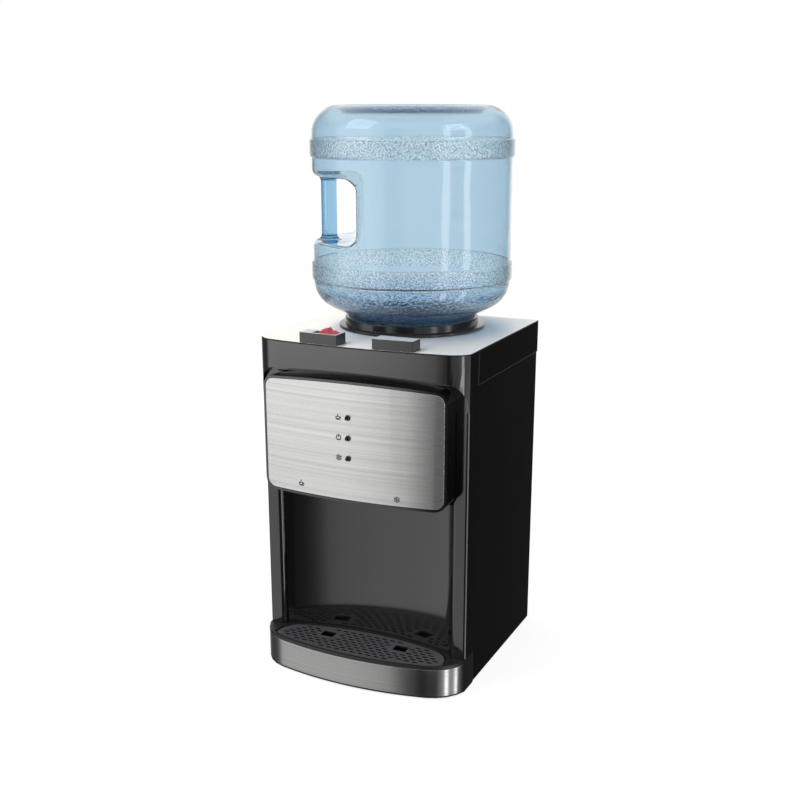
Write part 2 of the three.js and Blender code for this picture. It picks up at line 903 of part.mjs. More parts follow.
part(
  "indicator_board",
  box(
    -boardWidth / 2,
    boardWidth / 2,
    boardFront,
    boardFront + boardThickness,
    boardBottom,
    boardTop,
  ),
  ["#1f5a35", 0.5, 0],
);

// ---------------------------------------------------------------- faucets, buttons, rods, springs

const faucetBottom = headBottom + headWall + gap;
const faucetTop = faucetBottom + faucetHeight;
const portZ = faucetBottom + faucetPortHeight;
const springBottom = faucetTop + gap;
const collarZ = springBottom + springLength + gap;
const rodTop = deckTop + buttonHeight - buttonTop - gap;
const rodBottom = faucetTop - rodDip;
const faucetBody = cut(
  join(
    post(0, valveOffset, faucetRadius, faucetBottom, faucetTop, 20),
    post(0, 0, spoutRadius, headBottom - spoutDrop, faucetBottom + 2 * spoutRadius, 20),
    box(
      -spoutRadius,
      spoutRadius,
      0,
      valveOffset,
      faucetBottom,
      faucetBottom + 2 * spoutRadius,
    ),
    bar(0, portZ, faucetPortRadius, valveOffset, valveOffset + faucetPortLength, 12),
  ),
  post(0, 0, spoutBore, headBottom - spoutDrop - 1, faucetBottom + spoutRadius + 2, 12),
  bar(0, faucetBottom + spoutRadius, 2, 0, valveOffset, 8),
  post(0, valveOffset, rodRadius + slideGap, faucetBottom + 3, faucetTop + 1, 12),
  bar(0, portZ, faucetPortRadius - 2, valveOffset, valveOffset + faucetPortLength + 1, 8),
);
const helixPoint = (t) => {
  const angle = 2 * PI * springTurns * t;
  const z = springBottom + springWire + (springLength - 2 * springWire) * t;
  return new THREE.Vector3(
    springRadius * cos(angle),
    valveOffset + springRadius * sin(angle),
    z,
  );
};
class Helix extends THREE.Curve {
  getPoint(t, target = new THREE.Vector3()) {
    return target.copy(helixPoint(t));
  }
}
const wireShape = new THREE.Shape(
  arc(0, 0, springWire, 0, 2 * PI, 5)
    .slice(0, -1)
    .map(([u, v]) => new THREE.Vector2(u, v)),
);
const springBody = solid(
  new THREE.ExtrudeGeometry(wireShape, {
    steps: springTurns * 8,
    extrudePath: new Helix(),
    bevelEnabled: false,
  }),
);
// The rod stands behind the head's face; an arm under the deck carries it to the button's boss.
const armTop = deckTop - buttonSkirt - armDrop;
const armBottom = armTop - 2 * rodRadius;
const bossY = (buttonBack + bowAt(buttonFront(0), faucetX)) / 2;
const rodBody = join(
  post(0, valveOffset, rodRadius, rodBottom, armTop, 12),
  box(-rodRadius, rodRadius, bossY - faucetY - rodRadius, valveOffset + rodRadius, armBottom, armTop),
  post(0, bossY - faucetY, rodRadius, armBottom + 1, rodTop, 12),
  post(0, valveOffset, springCollar, collarZ, collarZ + springCollarHeight, 16),
);
const buttonBody = (side) =>
  cut(
    upright(buttonOutline(side, 0), deckTop - buttonSkirt, deckTop + buttonHeight),
    cut(
      upright(
        buttonOutline(side, buttonWall),
        deckTop - buttonSkirt - 1,
        deckTop + buttonHeight - buttonTop,
      ),
      post(side * faucetX, bossY, rodSocket, 0, deckTop + buttonHeight, 16),
    ),
    post(side * faucetX, bossY, rodRadius + gap, 0, rodTop + gap, 12),
  );
const lockInner = -(buttonInner + lockInset);
const lockY = (buttonBack + bowAt(buttonFront(0), buttonInner + buttonWidth / 2)) / 2 - 1;
const lockFloor = deckTop + buttonHeight - lockSink;
part(
  "hot_button",
  cut(
    buttonBody(-1),
    box(
      lockInner - lockLength - lockTravel - slideGap,
      lockInner + slideGap,
      lockY - lockWidth / 2 - slideGap,
      lockY + lockWidth / 2 + slideGap,
      lockFloor,
      deckTop + buttonHeight + 1,
    ),
  ),
  glossBlack,
);
part("cold_button", buttonBody(1), glossBlack);
for (const [name, x] of Object.entries(faucetPlaces)) {
  const stack = new THREE.Group();
  stack.position.set(x, faucetY, 0);
  cabinet.add(stack);
  part(name + "_faucet", faucetBody, naturalPlastic, stack);
  part(name + "_push_rod", rodBody, naturalPlastic, stack);
  part(name + "_return_spring", springBody, galvanised, stack);
}

// Slider with a low body and a ridged grip on top.
const lockProfile = [
  [0, 0],
  [lockLength, 0],
  [lockLength, lockBody],
  [lockLength * 0.8, lockBody + lockPeak * 0.35],
  [lockLength * 0.66, lockBody + lockPeak * 0.3],
  [lockLength * 0.52, lockBody + lockPeak],
  [lockLength * 0.4, lockBody + lockPeak * 0.6],
  [lockLength * 0.28, lockBody + lockPeak * 0.75],
  [lockLength * 0.14, lockBody + lockPeak * 0.25],
  [0, lockBody],
];
const lock = part(
  "child_lock_slider",
  through(lockProfile, -lockWidth / 2, lockWidth / 2),
  ["#c8202a", 0.35, 0],
);
lock.position.set(lockInner - lockLength, lockY, lockFloor + gap);

// ---------------------------------------------------------------- top cover, deck, side and rear panels

const funnelHole = (z0, z1) => post(0, axisY, coverWell, z0, z1, bottleSides);
part(
  "top_cover",
  cut(
    box(-cabinetHalf, cabinetHalf, frontDepth + gap, cabinetDepth, coverBottom, mouldTop),
    box(
      -cabinetHalf + mouldingWall,
      cabinetHalf - mouldingWall,
      frontDepth,
      cabinetDepth - mouldingWall,
      coverBottom - 1,
      innerTop,
    ),
    funnelHole(coverBottom, mouldTop + 1),
  ),
  glossBlack,
);
part(
  "deck_plate",
  cut(
    upright(bowOutline(deckBow, 0, cabinetDepth), mouldTop + gap, deckTop),
    funnelHole(mouldTop, deckTop + 1),
    ...buttonSlots(mouldTop, deckTop + 1),
  ),
  brushedSteel,
);

const sidePanel = cut(
  join(
    box(
      panelInner,
      panelOuter,
      frontDepth + gap,
      rearInner - gap,
      baseBottom + gap,
      coverBottom - gap,
    ),
    box(
      panelOuter - flangeWidth,
      panelOuter,
      flangeInner,
      rearInner - gap,
      baseBottom + gap,
      coverBottom - gap,
    ),
  ),
  ...screwHoles(flangeInner - 1, rearInner),
);
part("side_panel_right", sidePanel, glossBlack);
part("side_panel_left", sidePanel.mirror([1, 0, 0]), glossBlack);

const coolerZ = coldTankBottom + coolerRise;
const ventSlots = [];
for (let i = 0; i < ventCount; i++) {
  const z = coolerZ + (i - (ventCount - 1) / 2) * ventPitch;
  ventSlots.push(
    box(-ventLength / 2, ventLength / 2, rearInner - 1, rearOuter + 1, z - ventHeight / 2, z + ventHeight / 2),
  );
}
const switchPlaces = { hot: switchX - switchPitch / 2, cold: switchX + switchPitch / 2 };
const switchHalf = switchPitch / 2 + switchWidth / 2;
part(
  "rear_panel",
  cut(
    box(
      -cabinetHalf + rearInset,
      cabinetHalf - rearInset,
      rearInner,
      rearOuter,
      floorTop,
      coverBottom - gap,
    ),
    ...ventSlots,
    ...screwHoles(rearInner - 1, rearOuter + 1),
    box(
      switchX - switchHalf - gap,
      switchX + switchHalf + gap,
      rearInner - 1,
      rearOuter + 1,
      switchZ - switchHeight / 2 - gap,
      switchZ + switchHeight / 2 + gap,
    ),
    bar(glandX, glandZ, glandRadius + gap, rearInner - 1, rearOuter + 1, 20),
    bar(hotTankX, drainZ, drainRadius + gap, rearInner - 1, rearOuter + 1, 20),
  ),
  galvanised,
);
screwPlaces.forEach(([x, z], i) => {
  const screw = part(
    "rear_screw_" + (i + 1),
    join(
      bar(0, 0, screwHead, gap, gap + screwHeadHeight, 12),
      bar(0, 0, screwShank, -screwLength, gap + 1, 8),
    ),
    galvanised,
  );
  screw.position.set(x, rearOuter, z);
});

// ---------------------------------------------------------------- rear switches, gland, drain

const bezelFront = rearOuter + gap;
part(
  "switch_block",
  cut(
    join(
      box(
        switchX - switchHalf - switchBezel,
        switchX + switchHalf + switchBezel,
        bezelFront,
        bezelFront + 2,
        switchZ - switchHeight / 2 - switchBezel,
        switchZ + switchHeight / 2 + switchBezel,
      ),
      box(
        switchX - switchHalf,
        switchX + switchHalf,
        rearInner - switchDepth,
        bezelFront + 1,
        switchZ - switchHeight / 2,
        switchZ + switchHeight / 2,
      ),
    ),
    ...Object.values(switchPlaces).map((x) =>
      box(
        x - switchWidth / 2 + 2,
        x + switchWidth / 2 - 2,
        rearInner - switchDepth + 2,
        bezelFront + 3,
        switchZ - switchHeight / 2 + 2,
        switchZ + switchHeight / 2 - 2,
      ),
    ),
    bar(switchX, switchZ, 1.5, rearInner - switchDepth - 1, rearInner - switchDepth + 1, 8),
  ),
  mattBlack,
);
const rockerHalf = switchHeight / 2 - 3.5;
const rockerReach = rockerHalf * tan(rockerTilt);
for (const [name, x] of Object.entries(switchPlaces)) {
  const rocker = part(
    name + "_switch",
    solid(
      extruded(
        [
          [-6, -3],
          [0, -8],
          [6, -3],
          [rockerHalf, 1],
          [0, 1 + rockerReach],
          [-rockerHalf, 1],
        ],
        switchWidth - 4 - 2 * slideGap,
      )
        .translate(0, 0, -(switchWidth - 4 - 2 * slideGap) / 2)
        .rotateY(-PI / 2),
    ),
    [name === "hot" ? "#a3201f" : "#1f6b3a", 0.35, 0],
  );
  rocker.position.set(x, bezelFront, switchZ);
  rocker.rotation.x = rockerTilt;
}
part(
  "power_inlet_gland",
  cut(
    join(
      bar(glandX, glandZ, glandRadius + 3, rearOuter + gap, rearOuter + gap + 3, 24),
      bar(glandX, glandZ, glandRadius, rearInner - 8, rearOuter + gap + 1, 24),
      bar(glandX, glandZ, glandRadius - 2, rearOuter + gap, rearOuter + gap + 9, 24),
    ),
    bar(glandX, glandZ, glandBore, rearInner - 9, rearOuter + 12, 16),
  ),
  rubber,
);
const hotTankFloor = floorTop + hotTankStand + gap;
part(
  "drain_spigot",
  cut(
    join(
      bar(hotTankX, drainZ, drainRadius, rearInner - 20, rearOuter + drainStickOut, 20),
      bar(hotTankX, drainZ, drainRadius + 4, rearOuter + gap, rearOuter + gap + 2, 24),
      bar(hotTankX, drainZ, hoseRadius, hotTankY, rearInner - 19, 12),
      post(hotTankX, hotTankY, hoseRadius, drainZ - hoseRadius, hotTankFloor - gap, 12),
    ),
    bar(hotTankX, drainZ, drainBore, rearInner - 18, rearOuter + drainStickOut + 1, 16),
    bar(hotTankX, drainZ, hoseRadius - 2, hotTankY, rearInner - 17, 8),
    post(hotTankX, hotTankY, hoseRadius - 2, drainZ, hotTankFloor, 8),
  ),
  naturalPlastic,
);
const drainCapStart = rearOuter + gap + 2 + gap;
part(
  "drain_cap",
  cut(
    bar(
      hotTankX,
      drainZ,
      drainCapRadius,
      drainCapStart,
      rearOuter + drainStickOut + gap + drainCapWall,
      24,
    ),
    bar(hotTankX, drainZ, drainRadius + gap, drainCapStart - 1, rearOuter + drainStickOut + gap, 20),
  ),
  mattBlack,
);
part(
  "power_board",
  box(
    powerBoardX - powerBoardWidth / 2,
    powerBoardX + powerBoardWidth / 2,
    powerBoardY - powerBoardDepth / 2,
    powerBoardY + powerBoardDepth / 2,
    floorTop + standoffHeight + gap,
    floorTop + standoffHeight + gap + boardThickness,
  ),
  ["#1f5a35", 0.5, 0],
);

// ---------------------------------------------------------------- bottle, cap, collar, funnel, probe

const bottleGroup = new THREE.Group();
bottleGroup.position.set(0, axisY, 0);
cabinet.add(bottleGroup);

const slope = tan(domeSlope);
const domeEdge = deckTop + domeHeight; // where cone and side wall would meet
const coneZ = (r) => domeEdge - (bottleRadius - r) * slope;
const domeBend = tan((PI / 2 - domeSlope) / 2) * domeCorner;
const neckTop = coneZ(neckRadius);
const neckBottom = neckTop - neckLength;

// Half section of the bottle, drawn in by the inset, from the mouth up.
function bottleProfile(inset, bands) {
  const r = bottleRadius - inset;
  const neck = neckRadius - (inset ? neckWall : 0);
  const coneLift = inset / cos(domeSlope);
  const coneStart = neck + 4;
  const corner = domeCorner - inset;
  const sideZ = domeEdge + domeBend;
  const mouth = neckBottom - (inset ? 1 : 0);
  const points = [
    [0, mouth],
    [neck, mouth],
    [neck, coneZ(neck) + coneLift - 3],
    [coneStart, coneZ(coneStart) + coneLift],
    ...arc(bottleRadius - domeCorner, sideZ, corner, domeSlope - PI / 2, 0, 4),
  ];
  if (bands) {
    for (const [z0, height] of [
      [bandLow, bandLowHeight],
      [bandHigh, bandHighHeight],
    ]) {
      const start = max(z0, sideZ + 0.5);
      points.push(
        [r, start],
        [r + bandProud, start + 2],
        [r + bandProud, z0 + height - 2],
        [r, z0 + height],
      );
    }
  }
  const top = bottleTop - inset;
  const topRound = topCorner - inset;
  points.push(...arc(r - topRound, top - topRound, topRound, 0, PI / 2, 5));
  points.push([0, top]);
  return points;
}
const alongHandle = (body) => body.rotate([0, 0, THREE.MathUtils.radToDeg(handleAngle)]);
const pocket = (grow) =>
  alongHandle(
    through(
      rounded(
        handleReach - grow,
        2 * bottleRadius,
        handleBottom - grow,
        handleTop + grow,
        handleRound + grow,
        3,
      ),
      -2 * bottleRadius,
      2 * bottleRadius,
    ),
  );
const barLevels = [
  [-6, handleBarFlare],
  [0, handleBarFlare],
  [handleBarFlare, handleBarFlare * 0.35],
  [2 * handleBarFlare, 0],
];
const barProfile = [
  [0, handleBottom - 6],
  ...barLevels.map(([dz, dr]) => [handleBarRadius + dr, handleBottom + dz]),
  ...barLevels.map(([dz, dr]) => [handleBarRadius + dr, handleTop - dz]).reverse(),
  [0, handleTop + 6],
];
const bottleOutside = turned(bottleProfile(0, true), bottleSides);
const handleGrip = alongHandle(turned(barProfile, 12).translate([handleBar, 0, 0])).intersect(
  bottleOutside,
);
const bottleInside = cut(turned(bottleProfile(bottleWall, false), bottleSides), pocket(bottleWall));
part(
  "water_bottle",
  join(cut(bottleOutside, bottleInside, pocket(0)), handleGrip),
  ["#9cc6e0", 0.08, 0],
  bottleGroup,
);
const capOuter = neckRadius + gap + capWall;
const sleeve = probeRadius + slideGap;
part(
  "bottle_cap",
  turned(
    [
      [sleeve, neckBottom - gap - capWall],
      [capOuter, neckBottom - gap - capWall],
      [capOuter, neckBottom + capHeight],
      [neckRadius + gap, neckBottom + capHeight],
      [neckRadius + gap, neckBottom - gap],
      [sleeve + capWall, neckBottom - gap],
      [sleeve + capWall, neckBottom + capHeight],
      [sleeve, neckBottom + capHeight],
      [sleeve, neckBottom - gap - capWall],
    ],
    bottleSides,
  ),
  ["#2f6fb5", 0.4, 0],
  bottleGroup,
);

const collarTop = deckTop + collarHeight;
const collarInner = collarRadius - collarWall;
const collarBottom = deckTop + gap;
part(
  "bottle_collar",
  turned(
    [
      [collarInner, collarBottom],
      [collarFlangeRadius, collarBottom],
      [collarFlangeRadius, deckTop + collarFlangeHeight - 1],
      [collarFlangeRadius - 1.5, deckTop + collarFlangeHeight],
      [collarRadius, deckTop + collarFlangeHeight],
      [collarRadius, collarTop - 1.5],
      [collarRadius - 1.5, collarTop],
      [collarInner, collarTop],
      [collarInner, collarBottom],
    ],
    bottleSides,
  ),
  glossBlack,
  bottleGroup,
);

// The funnel hangs by its rim inside the collar, carries the bottle's cone and guides its neck.
const seatDrop = gap / cos(domeSlope);
const funnelZ = (r) => coneZ(r) - seatDrop;
const hang = funnelWall / cos(domeSlope);
const guide = capOuter + funnelNeckGap;
const guideFlare = guide + 6;
const guideTop = funnelZ(guideFlare);
const rimTop = collarTop - 1;
const rimRadius = collarInner - gap;
const rimInner = coverWell - gap - funnelWall;
const seatRadius = bottleRadius - (domeEdge - seatDrop - rimTop) / slope;
const funnelBase = neckBottom - gap - capWall - gap - funnelFloor;
part(
  "seat_funnel",
  cut(
    turned(
      [
        [probeRadius + gap, funnelBase],
        [guide + funnelWall, funnelBase],
        [guide + funnelWall, guideTop - hang - 4],
        [guideFlare + funnelWall, guideTop - hang],
        [seatRadius, rimTop - hang],
        [rimInner, rimTop - funnelWall],
        [rimInner, deckTop + gap],
        [rimRadius, deckTop + gap],
        [rimRadius, rimTop],
        [seatRadius, rimTop],
        [guideFlare, guideTop],
        [guide, guideTop - 5],
        [guide, funnelBase + funnelFloor],
        [probeRadius + gap, funnelBase + funnelFloor],
        [probeRadius + gap, funnelBase],
      ],
      bottleSides,
    ),
    post(guide - 8, 0, 2.5, funnelBase - 1, funnelBase + funnelFloor + 1, 10),
    post(-guide + 8, 0, 2.5, funnelBase - 1, funnelBase + funnelFloor + 1, 10),
  ),
  naturalPlastic,
  bottleGroup,
);
const coldTankTop = coldTankBottom + coldTankHeight;
const probeTop = funnelBase + funnelFloor + probeRise;
const probeBottom = coldTankTop - 5;
part(
  "feed_probe",
  cut(
    turned(
      [
        [probeBore, probeBottom],
        [probeRadius, probeBottom],
        [probeRadius, funnelBase - 6],
        [probeRadius + 4, funnelBase - 6],
        [probeRadius + 4, funnelBase - gap],
        [probeRadius, funnelBase - gap],
        [probeRadius, probeTop - 8],
        [1.5, probeTop],
        [0, probeTop],
        [0, probeTop - 3],
        [probeBore, probeTop - 9],
        [probeBore, probeBottom],
      ],
      14,
    ),
    bar(0, probeTop - 16, probePort, -probeRadius - 1, probeRadius + 1, 12),
  ),
  naturalPlastic,
  bottleGroup,
);

// ---------------------------------------------------------------- inner frame, cold tank, insulation

const frameBack = baseBack - mouldingWall - gap;
part(
  "inner_frame",
  join(
    box(-frameHalf, frameHalf, frameFront, frameBack, frameTop - frameSheet, frameTop),
    box(
      -frameHalf,
      -frameHalf + frameSheet,
      frameFront,
      frameBack,
      floorTop + gap,
      frameTop,
    ),
    box(frameHalf - frameSheet, frameHalf, frameFront, frameBack, floorTop + gap, frameTop),
  ),
  galvanised,
);
const coldTankGroup = new THREE.Group();
coldTankGroup.position.set(0, axisY, coldTankBottom);
cabinet.add(coldTankGroup);
const tankInner = coldTankRadius - tankWall;
const sidePorts = (radius, reach) =>
  [-1, 1].map((side) => bar(side * coldPortX, coldPortRise, radius, -reach, 0, 16));
part(
  "cold_tank",
  cut(
    turned(
      [
        [0, 0],
        [coldTankRadius, 0],
        [coldTankRadius, coldTankHeight],
        [probeRadius + gap, coldTankHeight],
        [probeRadius + gap, coldTankHeight - tankWall],
        [tankInner, coldTankHeight - tankWall],
        [tankInner, tankWall],
        [0, tankWall],
      ],
      24,
    ),
    ...sidePorts(hoseRadius - 2, coldTankRadius),
  ),
  brushedSteel,
  coldTankGroup,
);
const foamInner = coldTankRadius + gap;
const foamOuter = foamInner + foamWall;
const blockHalf = coldBlockSize / 2;
part(
  "cold_tank_insulation",
  cut(
    turned(
      [
        [0, -foamFloor - gap],
        [foamOuter, -foamFloor - gap],
        [foamOuter, coldTankHeight],
        [foamInner, coldTankHeight],
        [foamInner, -gap],
        [0, -gap],
      ],
      24,
    ),
    ...sidePorts(hoseRadius + gap, foamOuter + 1),
    box(
      -blockHalf - gap,
      blockHalf + gap,
      0,
      foamOuter + 1,
      coolerRise - blockHalf - gap,
      coolerRise + blockHalf + gap,
    ),
  ),
  ["#e9e6dc", 0.9, 0],
  coldTankGroup,
);

// ---------------------------------------------------------------- thermoelectric cooler and fan

const coolerGroup = new THREE.Group();
coolerGroup.position.set(0, axisY + coldTankRadius + coldBlockDepth, coolerZ);
cabinet.add(coolerGroup);
const square = (half, y0, y1) => box(-half, half, y0, y1, -half, half);
part(
  "cold_block",
  cut(
    square(blockHalf, -coldBlockDepth - coldTankRadius / 3, 0),
    post(0, -coldBlockDepth - coldTankRadius, foamInner, -blockHalf - 1, blockHalf + 1, 24),
  ),
  ["#c4c6c8", 0.4, 1],
  coolerGroup,
);
part(
  "thermoelectric_module",
  square(moduleSize / 2, gap, gap + moduleThickness),
  ["#e8e8e4", 0.6, 0],
  coolerGroup,
);
const sinkStart = moduleThickness + 2 * gap;
const sinkEnd = sinkStart + sinkBase + sinkFin;
const fins = [];
for (let i = 0; i < sinkFins; i++) {
  const x = -sinkSize / 2 + (sinkFinThickness / 2) + (i * (sinkSize - sinkFinThickness)) / (sinkFins - 1);
  fins.push(
    box(
      x - sinkFinThickness / 2,
      x + sinkFinThickness / 2,
      sinkStart + sinkBase - 1,
      sinkEnd,
      -sinkSize / 2,
      sinkSize / 2,
    ),
  );
}
part(
  "heat_sink",
  join(square(sinkSize / 2, sinkStart, sinkStart + sinkBase), ...fins),
  ["#c4c6c8", 0.4, 1],
  coolerGroup,
);
const fanStart = sinkEnd + gap;
const fanEnd = fanStart + fanDepth;
const ductRadius = fanSize / 2 - fanWall;
const strut = 3;
const fanStrut = (angle) => box(hubRadius - 4, ductRadius + 1, fanEnd - strut, fanEnd, -1.5, 1.5)
  .rotate([0, angle, 0]);
part(
  "fan_frame",
  cut(
    join(
      cut(square(fanSize / 2, fanStart, fanEnd), bar(0, 0, ductRadius, fanStart - 1, fanEnd + 1, 24)),
      bar(0, 0, hubRadius - 2, fanEnd - strut, fanEnd, 20),
      ...[0, 90, 180, 270].map(fanStrut),
    ),
    bar(0, 0, spindleRadius + gap, fanEnd - strut - 1, fanEnd + 1, 16),
  ),
  mattBlack,
  coolerGroup,
);
const hubDepth = fanDepth - strut - 2 * slideGap;
const fanGroup = new THREE.Group();
fanGroup.position.set(0, fanStart + slideGap, 0);
coolerGroup.add(fanGroup);
const bladeChord = (hubDepth - bladeThickness) / sin(bladePitch) - 1;
const blade = solid(
  new THREE.BoxGeometry(ductRadius - bladeGap - hubRadius + 2, bladeChord * sin(bladePitch), bladeThickness)
    .translate((ductRadius - bladeGap + hubRadius - 2) / 2, 0, 0)
    .rotateX(PI / 2 - bladePitch)
    .translate(0, hubDepth / 2, 0),
);
const blades = [];
for (let i = 0; i < bladeCount; i++) blades.push(blade.rotate([0, (360 * i) / bladeCount, 0]));
part(
  "fan_rotor",
  join(
    bar(0, 0, hubRadius, 0, hubDepth, 24),
    bar(0, 0, spindleRadius, 1, hubDepth + slideGap + strut, 12),
    ...blades,
  ),
  ["#232324", 0.5, 0],
  fanGroup,
);

// ---------------------------------------------------------------- hot tank, heater and hoses

const hotTankBottom = hotTankFloor;
const hotTankGroup = new THREE.Group();
hotTankGroup.position.set(hotTankX, hotTankY, hotTankBottom);
cabinet.add(hotTankGroup);
const hotInner = hotTankRadius - tankWall;
part(
  "hot_tank",
  cut(
    turned(
      [
        [hoseRadius - 2, 0],
        [hotTankRadius, 0],
        [hotTankRadius, hotTankHeight],
        [hoseRadius - 2, hotTankHeight],
        [hoseRadius - 2, hotTankHeight - tankWall],
        [hotInner, hotTankHeight - tankWall],
        [hotInner, tankWall],
        [hoseRadius - 2, tankWall],
        [hoseRadius - 2, 0],
      ],
      24,
    ),
    bar(0, hotPortRise, hoseRadius - 2, -hotTankRadius - 1, 0, 12),
  ),
  brushedSteel,
  hotTankGroup,
);
const heaterInner = hotTankRadius + gap;
part(
  "heater_band",
  cut(
    turned(
      [
        [heaterInner, hotTankHeight / 3],
        [heaterInner + heaterWall, hotTankHeight / 3],
        [heaterInner + heaterWall, hotTankHeight / 3 + heaterHeight],
        [heaterInner, hotTankHeight / 3 + heaterHeight],
        [heaterInner, hotTankHeight / 3],
      ],
      24,
    ),
    box(-heaterSlit / 2, heaterSlit / 2, 0, 2 * hotTankRadius, 0, hotTankHeight),
  ),
  ["#8f8a80", 0.5, 1],
  hotTankGroup,
);

const faucetPortEnd = valveY + faucetPortLength + gap;
const coldPortZ = coldTankBottom + coldPortRise;
const coldPortY = axisY - sqrt(coldTankRadius ** 2 - (coldPortX - hoseRadius) ** 2) - gap;
const foamFront = axisY - foamOuter;
part(
  "cold_outlet_hose",
  hose(
    [
      [coldPortX, coldPortY, coldPortZ],
      [coldPortX, foamFront + 6, coldPortZ],
      [coldPortX, foamFront - 6, coldPortZ],
      [(coldPortX + faucetX) / 2, (foamFront + faucetPortEnd) / 2, (coldPortZ + portZ) / 2],
      [faucetX, faucetPortEnd + 14, portZ],
      [faucetX, faucetPortEnd, portZ],
    ],
    hoseRadius,
    12,
  ),
  silicone,
);
const linerBack = alcoveDepth + mouldingWall + hoseRadius;
part(
  "hot_outlet_hose",
  hose(
    [
      [hotTankX, hotTankY, hotTankBottom + hotTankHeight + gap],
      [hotTankX, hotTankY, hotTankBottom + hotTankHeight + 12],
      [hotTankX, hotTankY - 12, hotTankBottom + hotTankHeight + 28],
      [(hotTankX - faucetX) / 2, frameFront + hoseClear, frameTop - 2 * hoseClear],
      [-faucetX, linerBack + 10, frameTop - 8],
      [-faucetX, linerBack + 4, linerTop + 8],
      [-faucetX, faucetPortEnd + 12, portZ],
      [-faucetX, faucetPortEnd, portZ],
    ],
    hoseRadius,
    24,
  ),
  silicone,
);
const hotPortZ = hotTankBottom + hotPortRise;
const feedHoseY = frameFront - hoseClear / 2;
const hotPortY = hotTankY - hotTankRadius - gap;
part(
  "hot_feed_hose",
  hose(
    [
      [-coldPortX, coldPortY, coldPortZ],
      [-coldPortX, foamFront + 6, coldPortZ],
      [-coldPortX, foamFront, coldPortZ],
      [-coldPortX, feedHoseY + 4, coldPortZ - hoseRadius],
      [-coldPortX, feedHoseY, coldPortZ - hoseClear],
      [-coldPortX, feedHoseY, (coldPortZ + hotPortZ) / 2],
      [(hotTankX - coldPortX) / 2, feedHoseY + 2, hotPortZ + 26],
      [hotTankX, hotPortY - 22, hotPortZ],
      [hotTankX, hotPortY, hotPortZ],
    ],
    hoseRadius,
    26,
  ),
  silicone,
);
// The origin lies under the middle of the whole, bottle included.
const wholeFront = baseBow.middle;
const wholeBack = axisY + bottleRadius + bandProud;
cabinet.position.y = -(wholeFront + wholeBack) / 2;

export default root;
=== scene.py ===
import json
from math import asin, atan2, cos, pi, radians, sin, sqrt, tan

import bpy
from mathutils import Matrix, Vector


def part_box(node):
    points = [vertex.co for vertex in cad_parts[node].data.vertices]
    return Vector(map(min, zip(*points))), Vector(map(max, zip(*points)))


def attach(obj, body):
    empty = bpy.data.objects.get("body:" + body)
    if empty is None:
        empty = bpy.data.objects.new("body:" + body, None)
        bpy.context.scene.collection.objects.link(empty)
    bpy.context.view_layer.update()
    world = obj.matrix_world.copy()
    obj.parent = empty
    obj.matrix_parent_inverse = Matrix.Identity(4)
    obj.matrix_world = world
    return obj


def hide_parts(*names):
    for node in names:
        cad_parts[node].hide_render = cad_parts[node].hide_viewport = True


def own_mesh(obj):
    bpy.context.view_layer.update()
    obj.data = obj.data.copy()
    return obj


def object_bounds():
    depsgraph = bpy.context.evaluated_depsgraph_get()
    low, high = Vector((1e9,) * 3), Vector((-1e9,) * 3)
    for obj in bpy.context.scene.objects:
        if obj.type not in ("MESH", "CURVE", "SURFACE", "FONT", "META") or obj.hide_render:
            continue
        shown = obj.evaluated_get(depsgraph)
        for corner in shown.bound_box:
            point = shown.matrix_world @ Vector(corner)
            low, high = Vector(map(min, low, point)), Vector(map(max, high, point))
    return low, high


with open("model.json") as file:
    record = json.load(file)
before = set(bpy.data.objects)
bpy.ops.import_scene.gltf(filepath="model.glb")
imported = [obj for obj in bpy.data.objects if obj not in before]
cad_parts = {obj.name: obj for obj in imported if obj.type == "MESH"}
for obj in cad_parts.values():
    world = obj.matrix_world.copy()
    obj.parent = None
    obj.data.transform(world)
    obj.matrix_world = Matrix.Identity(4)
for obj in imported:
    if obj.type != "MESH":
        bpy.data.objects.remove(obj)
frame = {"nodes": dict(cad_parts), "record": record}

cad_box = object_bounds()

# ---------------------------------------------------------------- camera
# The eye is as high as the top of the bottle, in front of the dispenser and to its right, and
# looks a little down on the deck and the drip tray. Colours are shown as they are lit.

scene = bpy.context.scene
camera = bpy.data.objects.new("camera", bpy.data.cameras.new("camera"))
scene.collection.objects.link(camera)
camera.location = (0.678, -1.4786, 0.7792)
camera.rotation_euler = (radians(73.35), 0, radians(24.69))
camera.data.lens = 51.99
camera.data.shift_y = 0.06875
scene.camera = camera
scene.view_settings.view_transform = "Standard"

# ---------------------------------------------------------------- studio
# A white room: pale floor, even fill, a large soft lamp up on the left and a smaller one on the
# right. Mirror-like surfaces see a studio that is white above and falls off from left to right
# below, with two bright strips on the right.


def add(tree, kind, inputs=None, **settings):
    """Adds a node; an input given as a socket is linked, and any other is set."""
    made = tree.nodes.new("ShaderNode" + kind)
    for name, value in settings.items():
        setattr(made, name, value)
    for name, value in (inputs or {}).items():
        if isinstance(value, bpy.types.NodeSocket):
            tree.links.new(value, made.inputs[name])
        else:
            made.inputs[name].default_value = value
    return made


def linear(code):
    """An sRGB hex colour as linear values with full alpha."""
    parts = [int(code[i : i + 2], 16) / 255 for i in (1, 3, 5)]
    return (*[c / 12.92 if c <= 0.04045 else ((c + 0.055) / 1.055) ** 2.4 for c in parts], 1)


def new_material(name):
    """An empty material and its node tree."""
    made = bpy.data.materials.new(name)
    made.use_nodes = True
    made.node_tree.nodes.clear()
    return made, made.node_tree


white = (1, 1, 1, 1)
floor_size = 12
floor_grey = 0.3
floor_lift = 0.84
fill_level = 0.55
ceiling_level = 1.1
strip_level = 3.2
key_watts = 16
side_watts = 5
# Heights of a direction, from -1 straight down to 1 straight up. The low levels turn into the
# high ones between the first two, and those into the ceiling between the last two.
low_until = -0.32
high_from = -0.14
high_until = 0.3
ceiling_from = 0.6

